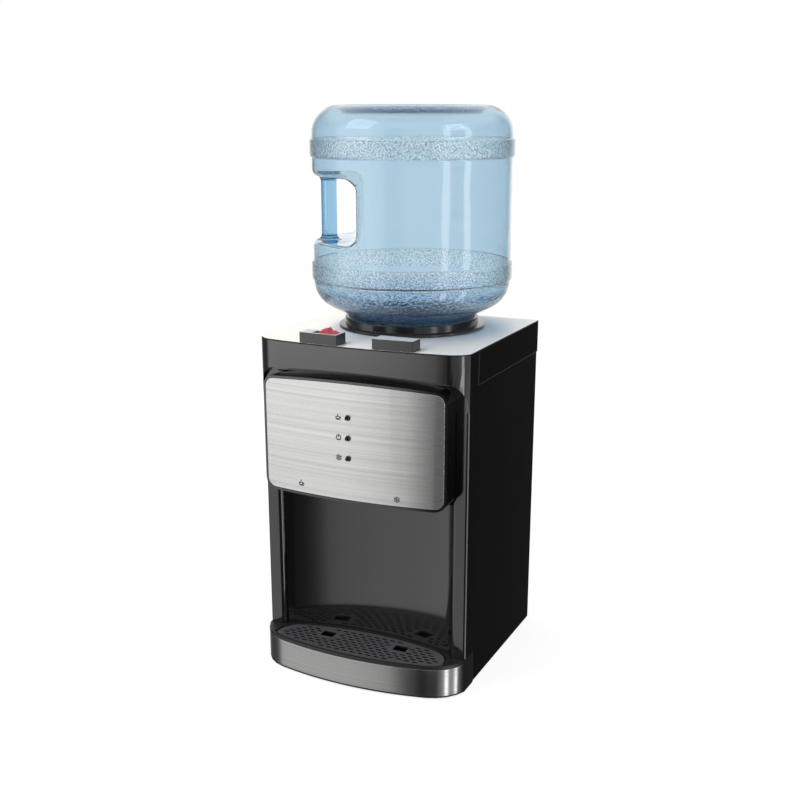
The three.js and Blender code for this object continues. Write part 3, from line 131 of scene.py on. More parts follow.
world = bpy.data.worlds.new("white_room")
scene.world = world
world.use_nodes = True
tree = world.node_tree
tree.nodes.clear()
direction = add(tree, "SeparateXYZ", {0: add(tree, "TexCoord").outputs["Generated"]})
behind = add(tree, "Math", {0: direction.outputs["Y"], 1: -1.0}, operation="MULTIPLY")
turn = add(tree, "Math", {0: direction.outputs["X"], 1: behind.outputs[0]}, operation="ARCTAN2")
way_round = add(
    tree,
    "MapRange",
    {"Value": turn.outputs[0], "From Min": -pi, "From Max": pi, "To Min": 0.0, "To Max": 1.0},
)
# Turn from straight ahead of the dispenser, in degrees towards its right, and the level there:
# first where a surface mirrors what lies well below it, then what lies level with it and above.
low_levels = [
    (-180, 0.60),
    (-150, 0.60),
    (-120, 0.10),
    (-90, 0.10),
    (-78, 0.14),
    (-63, 0.86),
    (-27, 0.79),
    (-15, 0.70),
    (-10, 0.60),
    (-6, 0.22),
    (-1, 0.07),
    (6, 0.03),
    (34, 0.03),
    (46, 0.30),
    (57, 0.60),
    (59, strip_level),
    (66, strip_level),
    (68, 0.5),
    (84, 0.5),
    (86, strip_level),
    (92, strip_level),
    (94, 0.40),
    (112, 0.10),
    (135, 0.02),
    (165, 0.02),
    (180, 0.60),
]
high_levels = [
    (-180, 1.1),
    (-142, 1.1),
    (-126, 0.12),
    (-90, 0.12),
    (-78, 0.30),
    (-63, 1.7),
    (-27, 1.75),
    (-14, 1.25),
    (-7, 0.65),
    (-2, 0.12),
    (8, 0.08),
    (18, 0.60),
    (50, 0.60),
    (57, 0.80),
    (59, strip_level),
    (66, strip_level),
    (68, 0.5),
    (84, 0.5),
    (86, strip_level),
    (92, strip_level),
    (94, 0.40),
    (112, 0.10),
    (125, 0.02),
    (165, 0.02),
    (180, 1.1),
]


def studio_ramp(levels):
    """Light all round the room, from levels at turns given in degrees."""
    ramp = add(tree, "ValToRGB", {"Fac": way_round.outputs[0]})
    for i, (degrees, level) in enumerate(levels):
        place = (degrees + 180) / 360
        if i < 2:
            stop = ramp.color_ramp.elements[i]
            stop.position = place
        else:
            stop = ramp.color_ramp.elements.new(place)
        part = level / strip_level
        stop.color = (part, part, part, 1)
    light = add(tree, "Background", {"Color": ramp.outputs["Color"], "Strength": strip_level})
    return light.outputs[0]


above = add(
    tree,
    "MapRange",
    {"Value": direction.outputs["Z"], "From Min": low_until, "From Max": high_from},
    interpolation_type="SMOOTHSTEP",
)
overhead = add(
    tree,
    "MapRange",
    {"Value": direction.outputs["Z"], "From Min": high_until, "From Max": ceiling_from},
    interpolation_type="SMOOTHSTEP",
)
white_light = add(tree, "Background", {"Color": white, "Strength": 1.0})
ceiling_light = add(tree, "Background", {"Color": white, "Strength": ceiling_level})
fill_light = add(tree, "Background", {"Color": white, "Strength": fill_level})
wall_light = add(
    tree,
    "MixShader",
    {0: above.outputs[0], 1: studio_ramp(low_levels), 2: studio_ramp(high_levels)},
)
studio_light = add(
    tree,
    "MixShader",
    {0: overhead.outputs[0], 1: wall_light.outputs[0], 2: ceiling_light.outputs[0]},
)
path = add(tree, "LightPath")
seen = add(
    tree,
    "Math",
    {0: path.outputs["Is Camera Ray"], 1: path.outputs["Is Transmission Ray"]},
    operation="MAXIMUM",
)
lit = add(
    tree,
    "MixShader",
    {0: path.outputs["Is Glossy Ray"], 1: fill_light.outputs[0], 2: studio_light.outputs[0]},
)
shown = add(tree, "MixShader", {0: seen.outputs[0], 1: lit.outputs[0], 2: white_light.outputs[0]})
add(tree, "OutputWorld", {"Surface": shown.outputs[0]})

bpy.ops.object.select_all(action="DESELECT")
bpy.ops.mesh.primitive_plane_add(size=floor_size)
floor = bpy.context.object
floor.name = "floor"
floor.visible_glossy = False
floor_paint, tree = new_material("white_painted_floor")
path = add(tree, "LightPath")
paint = add(tree, "BsdfDiffuse", {"Color": (floor_grey, floor_grey, floor_grey, 1)})
lift = add(
    tree,
    "Emission",
    {"Color": (floor_lift, floor_lift, floor_lift, 1), "Strength": path.outputs["Is Camera Ray"]},
)
lifted = add(tree, "AddShader", {0: paint.outputs[0], 1: lift.outputs[0]})
plain = add(tree, "Emission", {"Color": white, "Strength": 1.0})
surface = add(
    tree,
    "MixShader",
    {0: path.outputs["Is Transmission Ray"], 1: lifted.outputs[0], 2: plain.outputs[0]},
)
add(tree, "OutputMaterial", {"Surface": surface.outputs[0]})
floor.data.materials.append(floor_paint)

middle = (Vector(cad_box[0]) + Vector(cad_box[1])) / 2
for name, place, size, watts in [
    ("key_lamp", (-1.2, -1.3, 1.9), 1.2, key_watts),
    ("side_lamp", (1.5, -0.4, 1.5), 0.6, side_watts),
]:
    lamp = bpy.data.objects.new(name, bpy.data.lights.new(name, "AREA"))
    scene.collection.objects.link(lamp)
    lamp.data.size = size
    lamp.data.energy = watts
    lamp.location = place
    lamp.visible_glossy = False
    lamp.rotation_euler = (Vector(place) - middle).to_track_quat("Z", "Y").to_euler()

# ---------------------------------------------------------------- base pan and feet
# The base is one black ABS moulding, open at the rear, with bosses and a well for the drip tray.
# Four rubber feet are pressed into its underside.


def only(piece):
    """Selects this piece alone and makes it the active one."""
    bpy.ops.object.select_all(action="DESELECT")
    piece.select_set(True)
    bpy.context.view_layer.objects.active = piece


def apply(piece, kind, **settings):
    """Adds a modifier with these settings and applies it."""
    only(piece)
    modifier = piece.modifiers.new(kind, kind)
    for name, value in settings.items():
        setattr(modifier, name, value)
    bpy.ops.object.modifier_apply(modifier=modifier.name)


weld_distance = 2e-6


def from_cad(node, flat=0.4):
    """A copy of a CAD node's mesh, its loose triangles joined into faces flat to this angle."""
    piece = bpy.data.objects.new(node + "_shown", frame["nodes"][node].data.copy())
    scene.collection.objects.link(piece)
    only(piece)
    bpy.ops.object.mode_set(mode="EDIT")
    bpy.ops.mesh.select_all(action="SELECT")
    bpy.ops.mesh.remove_doubles(threshold=weld_distance)
    if flat:
        bpy.ops.mesh.dissolve_limited(angle_limit=radians(flat))
    bpy.ops.object.mode_set(mode="OBJECT")
    return piece


def soften(piece, width, segments=2, angle=32):
    """Rounds the sharp edges and shades the rest smooth."""
    apply(
        piece,
        "BEVEL",
        width=width,
        segments=segments,
        limit_method="ANGLE",
        angle_limit=radians(angle),
        use_clamp_overlap=True,
        harden_normals=False,
        miter_outer="MITER_ARC",
    )
    only(piece)
    bpy.ops.object.shade_smooth_by_angle(angle=radians(38))
    apply(piece, "WEIGHTED_NORMAL", keep_sharp=True, weight=80)


bodies = frame["record"]["behaviour"]["bodies"]


def stand_for(piece, node, finish):
    """The piece rides and is finished as its CAD node, and hides it."""
    piece.data.materials.clear()
    piece.data.materials.append(finish)
    body = next(name for name, members in bodies.items() if node in members)
    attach(piece, body)
    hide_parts(node)


# Moulded ABS with a spark-eroded satin grain: black, a soft wide sheen, and a faint pebble of
# 1.1 mm, coarser than the real one so that it shows. A pattern's scale is its grains to the metre.
satin_abs, tree = new_material("satin_black_abs")
place = add(tree, "TexCoord").outputs["Object"]
grain = add(tree, "TexNoise", {"Vector": place, "Scale": 900.0, "Detail": 3.0})
wide = add(tree, "TexNoise", {"Vector": place, "Scale": 14.0, "Detail": 2.0})
gloss = add(tree, "MapRange", {"Value": wide.outputs[0], "To Min": 0.40, "To Max": 0.50})
bump = add(tree, "Bump", {"Height": grain.outputs[0], "Strength": 0.15, "Distance": 0.0002})
shader = add(
    tree,
    "BsdfPrincipled",
    {
        "Base Color": linear("#161617"),
        "Roughness": gloss.outputs[0],
        "IOR": 1.54,
        "Normal": bump.outputs[0],
    },
)
add(tree, "OutputMaterial", {"Surface": shader.outputs[0]})

# Moulded rubber: matt, almost no sheen, with a dusty mottle of 2.5 mm. A mix of two colours takes
# its factor at 0 and the colours at 6 and 7, and gives the result at 2.
rubber, tree = new_material("moulded_black_rubber")
place = add(tree, "TexCoord").outputs["Object"]
dust = add(tree, "TexNoise", {"Vector": place, "Scale": 400.0, "Detail": 4.0})
colour = add(
    tree,
    "Mix",
    {0: dust.outputs[0], 6: linear("#0e0e0e"), 7: linear("#1d1d1c")},
    data_type="RGBA",
)
shader = add(
    tree,
    "BsdfPrincipled",
    {"Base Color": colour.outputs[2], "Roughness": 0.8, "IOR": 1.52},
)
add(tree, "OutputMaterial", {"Surface": shader.outputs[0]})

base = from_cad("base_pan")
soften(base, 0.0008, segments=3)
stand_for(base, "base_pan", satin_abs)
for i in range(1, 5):
    foot = from_cad("foot_%d" % i)
    soften(foot, 0.0006)
    stand_for(foot, "foot_%d" % i, rubber)

# ---------------------------------------------------------------- base trim band
# A strip of brushed stainless steel, bent round the front of the base and held in its recess.


# Stainless steel brushed along X: long fine lines, with reflections that stay crisp along them
# and are drawn out across them. The lines are coarser than real ones, so that they show.
line_stretch = 0.0025


def brushed_steel(name, dark, pale, roughness, line, turned_about):
    """Steel brushed along X, its lines this many metres apart; Z for upright faces, Y for flat."""
    made, tree = new_material(name)
    place = add(tree, "TexCoord").outputs["Object"]
    scale = (line_stretch, line_stretch, 1.0)
    if turned_about == "Y":
        scale = (line_stretch, 1.0, line_stretch)
    drawn = add(tree, "Mapping", {"Vector": place, "Scale": scale})
    fine = add(
        tree,
        "TexNoise",
        {"Vector": drawn.outputs[0], "Scale": 1 / line, "Detail": 3.0, "Roughness": 0.6},
    )
    wide = add(tree, "TexNoise", {"Vector": drawn.outputs[0], "Scale": 0.22 / line, "Detail": 1.0})
    both = add(tree, "Math", {0: fine.outputs[0], 1: wide.outputs[0]}, operation="ADD")
    sharp = add(
        tree,
        "MapRange",
        {"Value": both.outputs[0], "From Min": 0.7, "From Max": 1.3},
    )
    colour = add(
        tree,
        "Mix",
        {0: sharp.outputs[0], 6: linear(dark), 7: linear(pale)},
        data_type="RGBA",
    )
    gloss = add(
        tree,
        "MapRange",
        {"Value": sharp.outputs[0], "To Min": roughness + 0.04, "To Max": roughness - 0.03},
    )
    bump = add(
        tree,
        "Bump",
        {"Height": fine.outputs[0], "Strength": 0.06, "Distance": 0.0001},
    )
    along = add(tree, "Tangent", direction_type="RADIAL", axis=turned_about)
    shader = add(
        tree,
        "BsdfPrincipled",
        {
            "Base Color": colour.outputs[2],
            "Metallic": 1.0,
            "Roughness": gloss.outputs[0],
            "Anisotropic": 0.85,
            "Anisotropic Rotation": 0.25,
            "Tangent": along.outputs[0],
            "Normal": bump.outputs[0],
        },
    )
    add(tree, "OutputMaterial", {"Surface": shader.outputs[0]})
    return made


# The band's own steel is darker and a little sharper in its reflections than the head's plate.
trim_steel = brushed_steel(
    "brushed_trim_steel",
    "#9a9a99",
    "#aaaaa9",
    roughness=0.21,
    line=0.0012,
    turned_about="Z",
)
band = from_cad("base_trim_band")
soften(band, 0.001, segments=3)
stand_for(band, "base_trim_band", trim_steel)

# ---------------------------------------------------------------- drip tray and grille
# A deep black tray sits in the base under the faucets. A slotted grille lies on its ledge and
# lifts out: both are moulded ABS, the grille a little glossier.

# Moulded ABS polished in its mould: black with a clear reflection, and the least orange peel with
# waves of 6 mm.
gloss_abs, tree = new_material("polished_black_abs")
place = add(tree, "TexCoord").outputs["Object"]
peel = add(tree, "TexNoise", {"Vector": place, "Scale": 160.0, "Detail": 1.0})
haze = add(tree, "TexNoise", {"Vector": place, "Scale": 9.0, "Detail": 4.0})
gloss = add(tree, "MapRange", {"Value": haze.outputs[0], "To Min": 0.08, "To Max": 0.14})
bump = add(tree, "Bump", {"Height": peel.outputs[0], "Strength": 0.04, "Distance": 0.0003})
colour = add(
    tree,
    "Mix",
    {0: haze.outputs[0], 6: linear("#0d0d0e"), 7: linear("#131314")},
    data_type="RGBA",
)
shader = add(
    tree,
    "BsdfPrincipled",
    {
        "Base Color": colour.outputs[2],
        "Roughness": gloss.outputs[0],
        "IOR": 1.85,
        "Normal": bump.outputs[0],
    },
)
add(tree, "OutputMaterial", {"Surface": shader.outputs[0]})

# The grille's satin: dark grey ABS off a blasted mould, with a grain of 1.4 mm and a fine sparkle
# on its edges.
grille_abs, tree = new_material("blasted_grey_abs")
place = add(tree, "TexCoord").outputs["Object"]
grain = add(tree, "TexNoise", {"Vector": place, "Scale": 700.0, "Detail": 2.0})
bump = add(tree, "Bump", {"Height": grain.outputs[0], "Strength": 0.1, "Distance": 0.0002})
colour = add(
    tree,
    "Mix",
    {0: grain.outputs[0], 6: linear("#4c4c4e"), 7: linear("#5e5e61")},
    data_type="RGBA",
)
shader = add(
    tree,
    "BsdfPrincipled",
    {
        "Base Color": colour.outputs[2],
        "Roughness": 0.32,
        "IOR": 1.54,
        "Normal": bump.outputs[0],
    },
)
add(tree, "OutputMaterial", {"Surface": shader.outputs[0]})

tray = from_cad("drip_tray")
soften(tray, 0.0005)
stand_for(tray, "drip_tray", satin_abs)
grille = from_cad("drip_grille", flat=0)
soften(grille, 0.0004)
stand_for(grille, "drip_grille", grille_abs)
# The walls of its slots take the black satin: painted shade inside the slots, darker and duller
# than its face.
shaded_slot_wall_tilt = 0.5
grille.data.materials.append(satin_abs)
for face in grille.data.polygons:
    if abs(face.normal.z) < shaded_slot_wall_tilt:
        face.material_index = 1

# ---------------------------------------------------------------- front shell and alcove liner
# One glossy moulding makes the visor and the two pillars; a bowed liner closes the alcove behind
# the tray. Both are ABS polished in the mould, held by hidden snap fits.

for node, width in [("front_shell", 0.0006), ("alcove_liner", 0.0005)]:
    piece = from_cad(node)
    soften(piece, width, segments=3)
    stand_for(piece, node, gloss_abs)

# ---------------------------------------------------------------- water parts inside
# Drawn steel tanks, foam, a thermoelectric cooler with its fan, silicone hoses and boards, on a
# frame of zinc-coated sheet. They show through the vents and the slots for the buttons.


def simple(
    name, dark, pale, scale, roughness, metallic=0.0, bumpiness=0.1, depth=0.0002, ior=1.5
):
    """A one-piece finish with a mottle and a bump of this many grains to the metre."""
    made, tree = new_material(name)
    place = add(tree, "TexCoord").outputs["Object"]
    grain = add(tree, "TexNoise", {"Vector": place, "Scale": float(scale), "Detail": 4.0})
    bump = add(
        tree,
        "Bump",
        {"Height": grain.outputs[0], "Strength": bumpiness, "Distance": depth},
    )
    colour = add(
        tree,
        "Mix",
        {0: grain.outputs[0], 6: linear(dark), 7: linear(pale)},
        data_type="RGBA",
    )
    shader = add(
        tree,
        "BsdfPrincipled",
        {
            "Base Color": colour.outputs[2],
            "Roughness": roughness,
            "Metallic": metallic,
            "IOR": ior,
            "Normal": bump.outputs[0],
        },
    )
    add(tree, "OutputMaterial", {"Surface": shader.outputs[0]})
    return made


# Hot-dip zinc on sheet steel: pale grey with faint crystal spangles of about 4 mm.
zinc_steel, tree = new_material("zinc_coated_steel")
place = add(tree, "TexCoord").outputs["Object"]
spangle = add(tree, "TexVoronoi", {"Vector": place, "Scale": 240.0, "Randomness": 1.0})
gloss = add(tree, "MapRange", {"Value": spangle.outputs["Color"], "To Min": 0.36, "To Max": 0.46})
colour = add(
    tree,
    "Mix",
    {0: spangle.outputs["Color"], 6: linear("#a6aaac"), 7: linear("#bcc0c2")},
    data_type="RGBA",
)
shader = add(
    tree,
    "BsdfPrincipled",
    {"Base Color": colour.outputs[2], "Metallic": 1.0, "Roughness": gloss.outputs[0]},
)
add(tree, "OutputMaterial", {"Surface": shader.outputs[0]})

# Drawn stainless steel: pale, with faint lines 2 mm apart round the tanks.
tank_steel = brushed_steel(
    "drawn_stainless_steel",
    "#a9a9a8",
    "#c4c4c2",
    roughness=0.28,
    line=0.002,
    turned_about="Z",
)
# Extruded aluminium: grey and evenly dull, with a faint mottle of 2 mm.
aluminium = simple(
    "extruded_aluminium", "#9b9ea2", "#b9bcbf", scale=500, roughness=0.38, metallic=1.0
)
# Expanded foam: cream, quite matt, with cells of about 3 mm that catch the light.
foam = simple(
    "expanded_foam", "#cdc3ab", "#e6dfcd", scale=350, roughness=0.9, bumpiness=0.6, depth=0.001
)
# Uncoloured polypropylene and silicone rubber: milky, with a weak soft shine.
natural = simple("natural_polypropylene", "#cfd2cb", "#dfe2dc", scale=120, roughness=0.42)
silicone = simple("silicone_hose", "#c9d0cf", "#dde3e2", scale=200, roughness=0.35)
# A circuit board's green lacquer, and the pale, dry ceramic faces of the cooler's module.
circuit = simple("circuit_board_lacquer", "#123f22", "#1e5c34", scale=260, roughness=0.35)
ceramic = simple("sintered_ceramic", "#d6d5ce", "#e9e8e2", scale=600, roughness=0.55)
# Each piece's finish, and how far its edges are rounded, in metres.
inside = {
    "inner_frame": (zinc_steel, 0.0003),
    "cold_tank": (tank_steel, 0.0006),
    "cold_tank_insulation": (foam, 0.001),
    "cold_block": (aluminium, 0.0005),
    "thermoelectric_module": (ceramic, 0.0003),
    "heat_sink": (aluminium, 0.0003),
    "fan_frame": (satin_abs, 0.0005),
    "fan_rotor": (satin_abs, 0.0003),
    "hot_tank": (tank_steel, 0.0006),
    "heater_band": (aluminium, 0.0004),
    "cold_outlet_hose": (silicone, 0.0),
    "hot_outlet_hose": (silicone, 0.0),
    "hot_feed_hose": (silicone, 0.0),
    "power_board": (circuit, 0.0002),
    "indicator_board": (circuit, 0.0002),
    "hot_faucet": (natural, 0.0004),
    "cold_faucet": (natural, 0.0004),
    "hot_push_rod": (natural, 0.0003),
    "cold_push_rod": (natural, 0.0003),
    "hot_return_spring": (zinc_steel, 0.0),
    "cold_return_spring": (zinc_steel, 0.0),
    "feed_probe": (natural, 0.0004),
}
for node, (finish, width) in inside.items():
    piece = from_cad(node)
    if width:
        soften(piece, width)
    else:
        bpy.ops.object.shade_smooth_by_angle(angle=radians(60))
    stand_for(piece, node, finish)

# Each return spring stands on its faucet, and gets a mesh of its own.
for side in ["hot", "cold"]:
    low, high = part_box(side + "_return_spring")
    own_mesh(bpy.data.objects[side + "_return_spring_shown"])

# ---------------------------------------------------------------- dispensing head
# A glossy housing with a bowed face holds the faucets. A brushed steel plate is glued in its
# face, and three dark lenses stand in it.

housing = from_cad("head_housing")
soften(housing, 0.0009, segments=3)
stand_for(housing, "head_housing", gloss_abs)
# The plate's steel: pale, its lines 1.2 mm apart, with soft reflections drawn out upright.
panel_steel = brushed_steel(
    "brushed_stainless_steel",
    "#b8b8b7",
    "#d0d0cf",
    roughness=0.27,
    line=0.0012,
    turned_about="Z",
)
plate = from_cad("display_plate")
soften(plate, 0.0006, segments=3)
stand_for(plate, "display_plate", panel_steel)

# Dark acrylic: the lamp behind is off, so it shows near black with a clear shine.
acrylic = simple("dark_acrylic", "#0a0a0c", "#101014", scale=80, roughness=0.08, bumpiness=0.0)
for name in ["hot", "power", "cold"]:
    piece = from_cad("indicator_lens_" + name)
    soften(piece, 0.0006, segments=3)
    stand_for(piece, "indicator_lens_" + name, acrylic)

# Ink printed on the plate: a black ring round each lens, and five small signs, the cups and the
# power sign in black and the flakes in grey. All are laid on the bowed face, 0.1 mm proud.
ink = simple(
    "black_screen_ink", "#1b1b1c", "#242425", scale=400, roughness=0.5, bumpiness=0.0
)
grey_ink = simple(
    "grey_screen_ink", "#7f8082", "#8a8b8d", scale=400, roughness=0.5, bumpiness=0.0
)
plate_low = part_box("display_plate")[0]
in_front = plate_low.y - 0.004
run_on = 0.6
printed = []


def stroke(x0, z0, x1, z1, width, finish):
    """A straight printed line between two points, which runs on a little to close its joints."""
    bpy.ops.object.select_all(action="DESELECT")
    bpy.ops.mesh.primitive_plane_add(
        size=1,
        location=((x0 + x1) / 2, in_front, (z0 + z1) / 2),
        rotation=(pi / 2, -atan2(z1 - z0, x1 - x0), 0),
    )
    line = bpy.context.object
    line.scale = (sqrt((x1 - x0) ** 2 + (z1 - z0) ** 2) + width * run_on, width, 1)
    bpy.ops.object.transform_apply()
    line.data.materials.append(finish)
    printed.append(line)


def ring(x, z, radius, width, finish, start=0, end=360, steps=20):
    """A printed circle or part of one, its angles in degrees from the right."""
    for i in range(steps):
        a, b = [radians(start + (end - start) * (i + k) / steps) for k in (0, 1)]
        stroke(
            x + radius * cos(a),
            z + radius * sin(a),
            x + radius * cos(b),
            z + radius * sin(b),
            width,
            finish,
        )


def cup_sign(x, z, size):
    """A steaming cup, for hot water."""
    pen = size * 0.12
    ring(x - size * 0.08, z + size * 0.05, size * 0.34, pen, ink, 180, 360, 10)
    stroke(x - size * 0.42, z + size * 0.05, x + size * 0.26, z + size * 0.05, pen, ink)
    ring(x + size * 0.30, z - size * 0.08, size * 0.12, pen * 0.8, ink, -100, 100, 7)
    stroke(x - size * 0.40, z - size * 0.38, x + size * 0.34, z - size * 0.38, pen, ink)
    stroke(x - size * 0.12, z + size * 0.16, x - size * 0.04, z + size * 0.44, pen, ink)


def power_sign(x, z, size):
    """A broken circle with a stroke, for power."""
    pen = size * 0.15
    ring(x, z, size * 0.38, pen, ink, 120, 420, 16)
    stroke(x, z + size * 0.05, x, z + size * 0.5, pen, ink)


def snow_sign(x, z, size):
    """A six-armed flake with short barbs, for cold water."""
    pen = size * 0.13
    for i in range(6):
        a = radians(30 + 60 * i)
        stroke(x, z, x + size * 0.5 * cos(a), z + size * 0.5 * sin(a), pen, grey_ink)
        for side in (-1, 1):
            b = a + side * radians(50)
            x0 = x + size * 0.27 * cos(a)
            z0 = z + size * 0.27 * sin(a)
            stroke(x0, z0, x0 + size * 0.17 * cos(b), z0 + size * 0.17 * sin(b), pen, grey_ink)


sign_gap = 0.0142
sign_size = 0.0088
ring_outer = 0.0039
ring_gap = 0.0001
for name, sign in [("hot", cup_sign), ("power", power_sign), ("cold", snow_sign)]:
    lens_low, lens_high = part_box("indicator_lens_" + name)
    x = (lens_low.x + lens_high.x) / 2
    z = (lens_low.z + lens_high.z) / 2
    lens_radius = (lens_high.x - lens_low.x) / 2
    ring_width = ring_outer - lens_radius - ring_gap
    ring(x, z, lens_radius + ring_gap + ring_width / 2, ring_width, ink, steps=32)
    sign(x - sign_gap, z, sign_size)
# The other two signs stand low on the plate, each near its own faucet.
faucet_x = (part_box("hot_faucet")[0].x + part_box("hot_faucet")[1].x) / 2
cup_sign(x=faucet_x - 0.017, z=plate_low.z + 0.0135, size=0.0092)
snow_sign(x=-faucet_x + 0.012, z=plate_low.z + 0.0095, size=0.009)

bpy.ops.object.select_all(action="DESELECT")
for line in printed:
    line.select_set(True)
bpy.context.view_layer.objects.active = printed[0]
bpy.ops.object.join()
marks = bpy.context.object
marks.name = "printed_signs"
apply(
    marks,
    "SHRINKWRAP",
    target=plate,
    wrap_method="PROJECT",
    use_project_x=False,
    use_project_y=True,
    use_project_z=False,
    use_positive_direction=True,
    use_negative_direction=False,
    offset=0.0001,
)
apply(marks, "SOLIDIFY", thickness=0.00008, offset=1.0)
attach(marks, "cabinet")

# ---------------------------------------------------------------- push buttons and child lock
# Two hollow keys of moulded black ABS slide in the visor, their tops painted pale as a painted
# reflection, and push the faucets open. A red slider on the hot key locks it.

# The keys' tops: painted pale grey as a painted reflection of the bright room, partly metallic,
# with a soft wide sheen.
key_top_painted_reflection = simple(
    "pale_abs_painted_reflection",
    "#dcdcdb",
    "#ededec",
    scale=300,
    roughness=0.42,
    metallic=0.35,
    bumpiness=0.03,
)
# Their fronts: moulded ABS, its shine a little weaker than the housing's. Their sides are satin.
key_abs = simple(
    "moulded_key_abs",
    "#0d0d0e",
    "#131314",
    scale=160,
    roughness=0.12,
    bumpiness=0.04,
    ior=1.65,
)
painted_top_tilt = 0.95
painted_top_depth = 0.0004
key_side_tilt = 0.7
for node in ["hot_button", "cold_button"]:
    piece = from_cad(node)
    soften(piece, 0.0009, segments=3)
    stand_for(piece, node, key_abs)
    piece.data.materials.append(key_top_painted_reflection)
    piece.data.materials.append(satin_abs)
    # The upward faces at the top of each key take the pale painted reflection.
    key_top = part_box(node)[1].z
    for face in piece.data.polygons:
        if face.normal.z > painted_top_tilt and face.center.z > key_top - painted_top_depth:
            face.material_index = 1
        elif abs(face.normal.x) > key_side_tilt:
            face.material_index = 2
# Moulded red ABS: bright, with a soft shine.
red_abs = simple("moulded_red_abs", "#c9333d", "#e04a52", scale=120, roughness=0.3)
piece = from_cad("child_lock_slider")
soften(piece, 0.0005)
stand_for(piece, "child_lock_slider", red_abs)

# ---------------------------------------------------------------- top cover, deck and panels
# A glossy ABS cover closes the top and carries a deck of satin stainless steel. The side panels
# are enamelled steel, and the rear panel is zinc-coated steel with louvres, on four screws.

cover = from_cad("top_cover")
soften(cover, 0.001, segments=3)
stand_for(cover, "top_cover", gloss_abs)
# Stainless steel ground to a satin: nearly white, with soft wide reflections and faint lines.
deck_steel = brushed_steel(
    "satin_stainless_steel",
    "#f2efea",
    "#faf8f4",
    roughness=0.52,
    line=0.0012,
    turned_about="Y",
)
# The cut edge of the deck's sheet: sheared steel painted dark as painted shade along the deck's
# edge, with hardly any shine.
shaded_cut_steel = simple(
    "sheared_steel_edge_painted_shade",
    "#1c1c1c",
    "#2a2a2a",
    scale=500,
    roughness=0.55,
    metallic=0.6,
    bumpiness=0.05,
)
cut_edge_tilt = 0.8
deck = from_cad("deck_plate")
soften(deck, 0.0001)
stand_for(deck, "deck_plate", deck_steel)
deck.data.materials.append(shaded_cut_steel)
# The faces round the deck's edge take the dark painted shade.
for face in deck.data.polygons:
    if abs(face.normal.z) < cut_edge_tilt:
        face.material_index = 1

# Baked enamel on sheet steel: deep black, with an even shine and a fine orange peel of 2.4 mm.
enamel, tree = new_material("black_enamel_on_steel")
place = add(tree, "TexCoord").outputs["Object"]
peel = add(tree, "TexNoise", {"Vector": place, "Scale": 420.0, "Detail": 2.0})
haze = add(tree, "TexNoise", {"Vector": place, "Scale": 6.0, "Detail": 3.0})
bump = add(tree, "Bump", {"Height": peel.outputs[0], "Strength": 0.05, "Distance": 0.0003})
colour = add(
    tree,
    "Mix",
    {0: haze.outputs[0], 6: linear("#101010"), 7: linear("#151515")},
    data_type="RGBA",
)
shader = add(
    tree,
    "BsdfPrincipled",
    {
        "Base Color": colour.outputs[2],
        "Roughness": 0.14,
        "IOR": 1.5,
        "Normal": bump.outputs[0],
    },
)
add(tree, "OutputMaterial", {"Surface": shader.outputs[0]})
for node in ["side_panel_left", "side_panel_right"]:
    piece = from_cad(node)
    soften(piece, 0.0011, segments=3)
    stand_for(piece, node, enamel)
rear = from_cad("rear_panel", flat=0)
soften(rear, 0.0004)
stand_for(rear, "rear_panel", zinc_steel)
for i in range(1, 5):
    screw = from_cad("rear_screw_%d" % i)
    soften(screw, 0.0004, segments=3)
    stand_for(screw, "rear_screw_%d" % i, zinc_steel)

# ---------------------------------------------------------------- switches, cord gland and drain
# Behind: two moulded ABS rockers in one black frame let into the rear panel, the rubber gland
# for the mains lead, and the hot tank's drain of natural polypropylene with its black cap.

# Moulded green ABS: dark, with the red one's soft shine.
green_abs = simple("moulded_green_abs", "#12532b", "#1b6b3a", scale=120, roughness=0.3)
for node, finish in {
    "switch_block": satin_abs,
    "hot_switch": red_abs,
    "cold_switch": green_abs,
    "power_inlet_gland": rubber,
    "drain_spigot": natural,
    "drain_cap": satin_abs,
}.items():
    piece = from_cad(node)
    soften(piece, 0.0005)
    stand_for(piece, node, finish)

# ---------------------------------------------------------------- bottle seat
# A collar of moulded black nylon stands on the deck, held by hidden snap fits. Inside it hangs a
# satin ABS funnel, which carries the bottle's shoulder and guides its neck on to the probe.


def turned(name, profile, axis, steps=96):
    """A piece turned about an upright line, from its half section of radius and height."""
    bpy.ops.object.select_all(action="DESELECT")
    radius, height = profile[0]
    bpy.ops.mesh.primitive_plane_add(size=0.001, location=(axis.x + radius, axis.y, height))
    piece = bpy.context.object
    piece.name = name
    bpy.ops.object.transform_apply()
    bpy.ops.object.mode_set(mode="EDIT")
    bpy.ops.mesh.select_all(action="SELECT")
    bpy.ops.mesh.merge(type="CENTER")
    for (r0, z0), (r1, z1) in zip(profile, profile[1:]):
        bpy.ops.mesh.extrude_region_move(
            TRANSFORM_OT_translate={"value": (r1 - r0, 0, z1 - z0)}
        )
    bpy.ops.mesh.select_all(action="SELECT")
    bpy.ops.mesh.spin(steps=steps, angle=2 * pi, center=(axis.x, axis.y, 0), axis=(0, 0, 1))
    bpy.ops.mesh.select_all(action="SELECT")
    bpy.ops.mesh.remove_doubles(threshold=1e-6)
    bpy.ops.mesh.normals_make_consistent(inside=False)
    bpy.ops.object.mode_set(mode="OBJECT")
    return piece


def curve(r, z, radius, start, end, steps=6):
    """Points of radius and height along an arc, in degrees."""
    angles = [radians(start + (end - start) * i / steps) for i in range(steps + 1)]
    return [(r + radius * cos(a), z + radius * sin(a)) for a in angles]


low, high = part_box("bottle_collar")
axis = Vector(((low.x + high.x) / 2, (low.y + high.y) / 2))
flange_radius = (high.x - low.x) / 2
collar_radius = flange_radius - 0.009
bore_radius = collar_radius - 0.005
flange_top = low.z + 0.0037
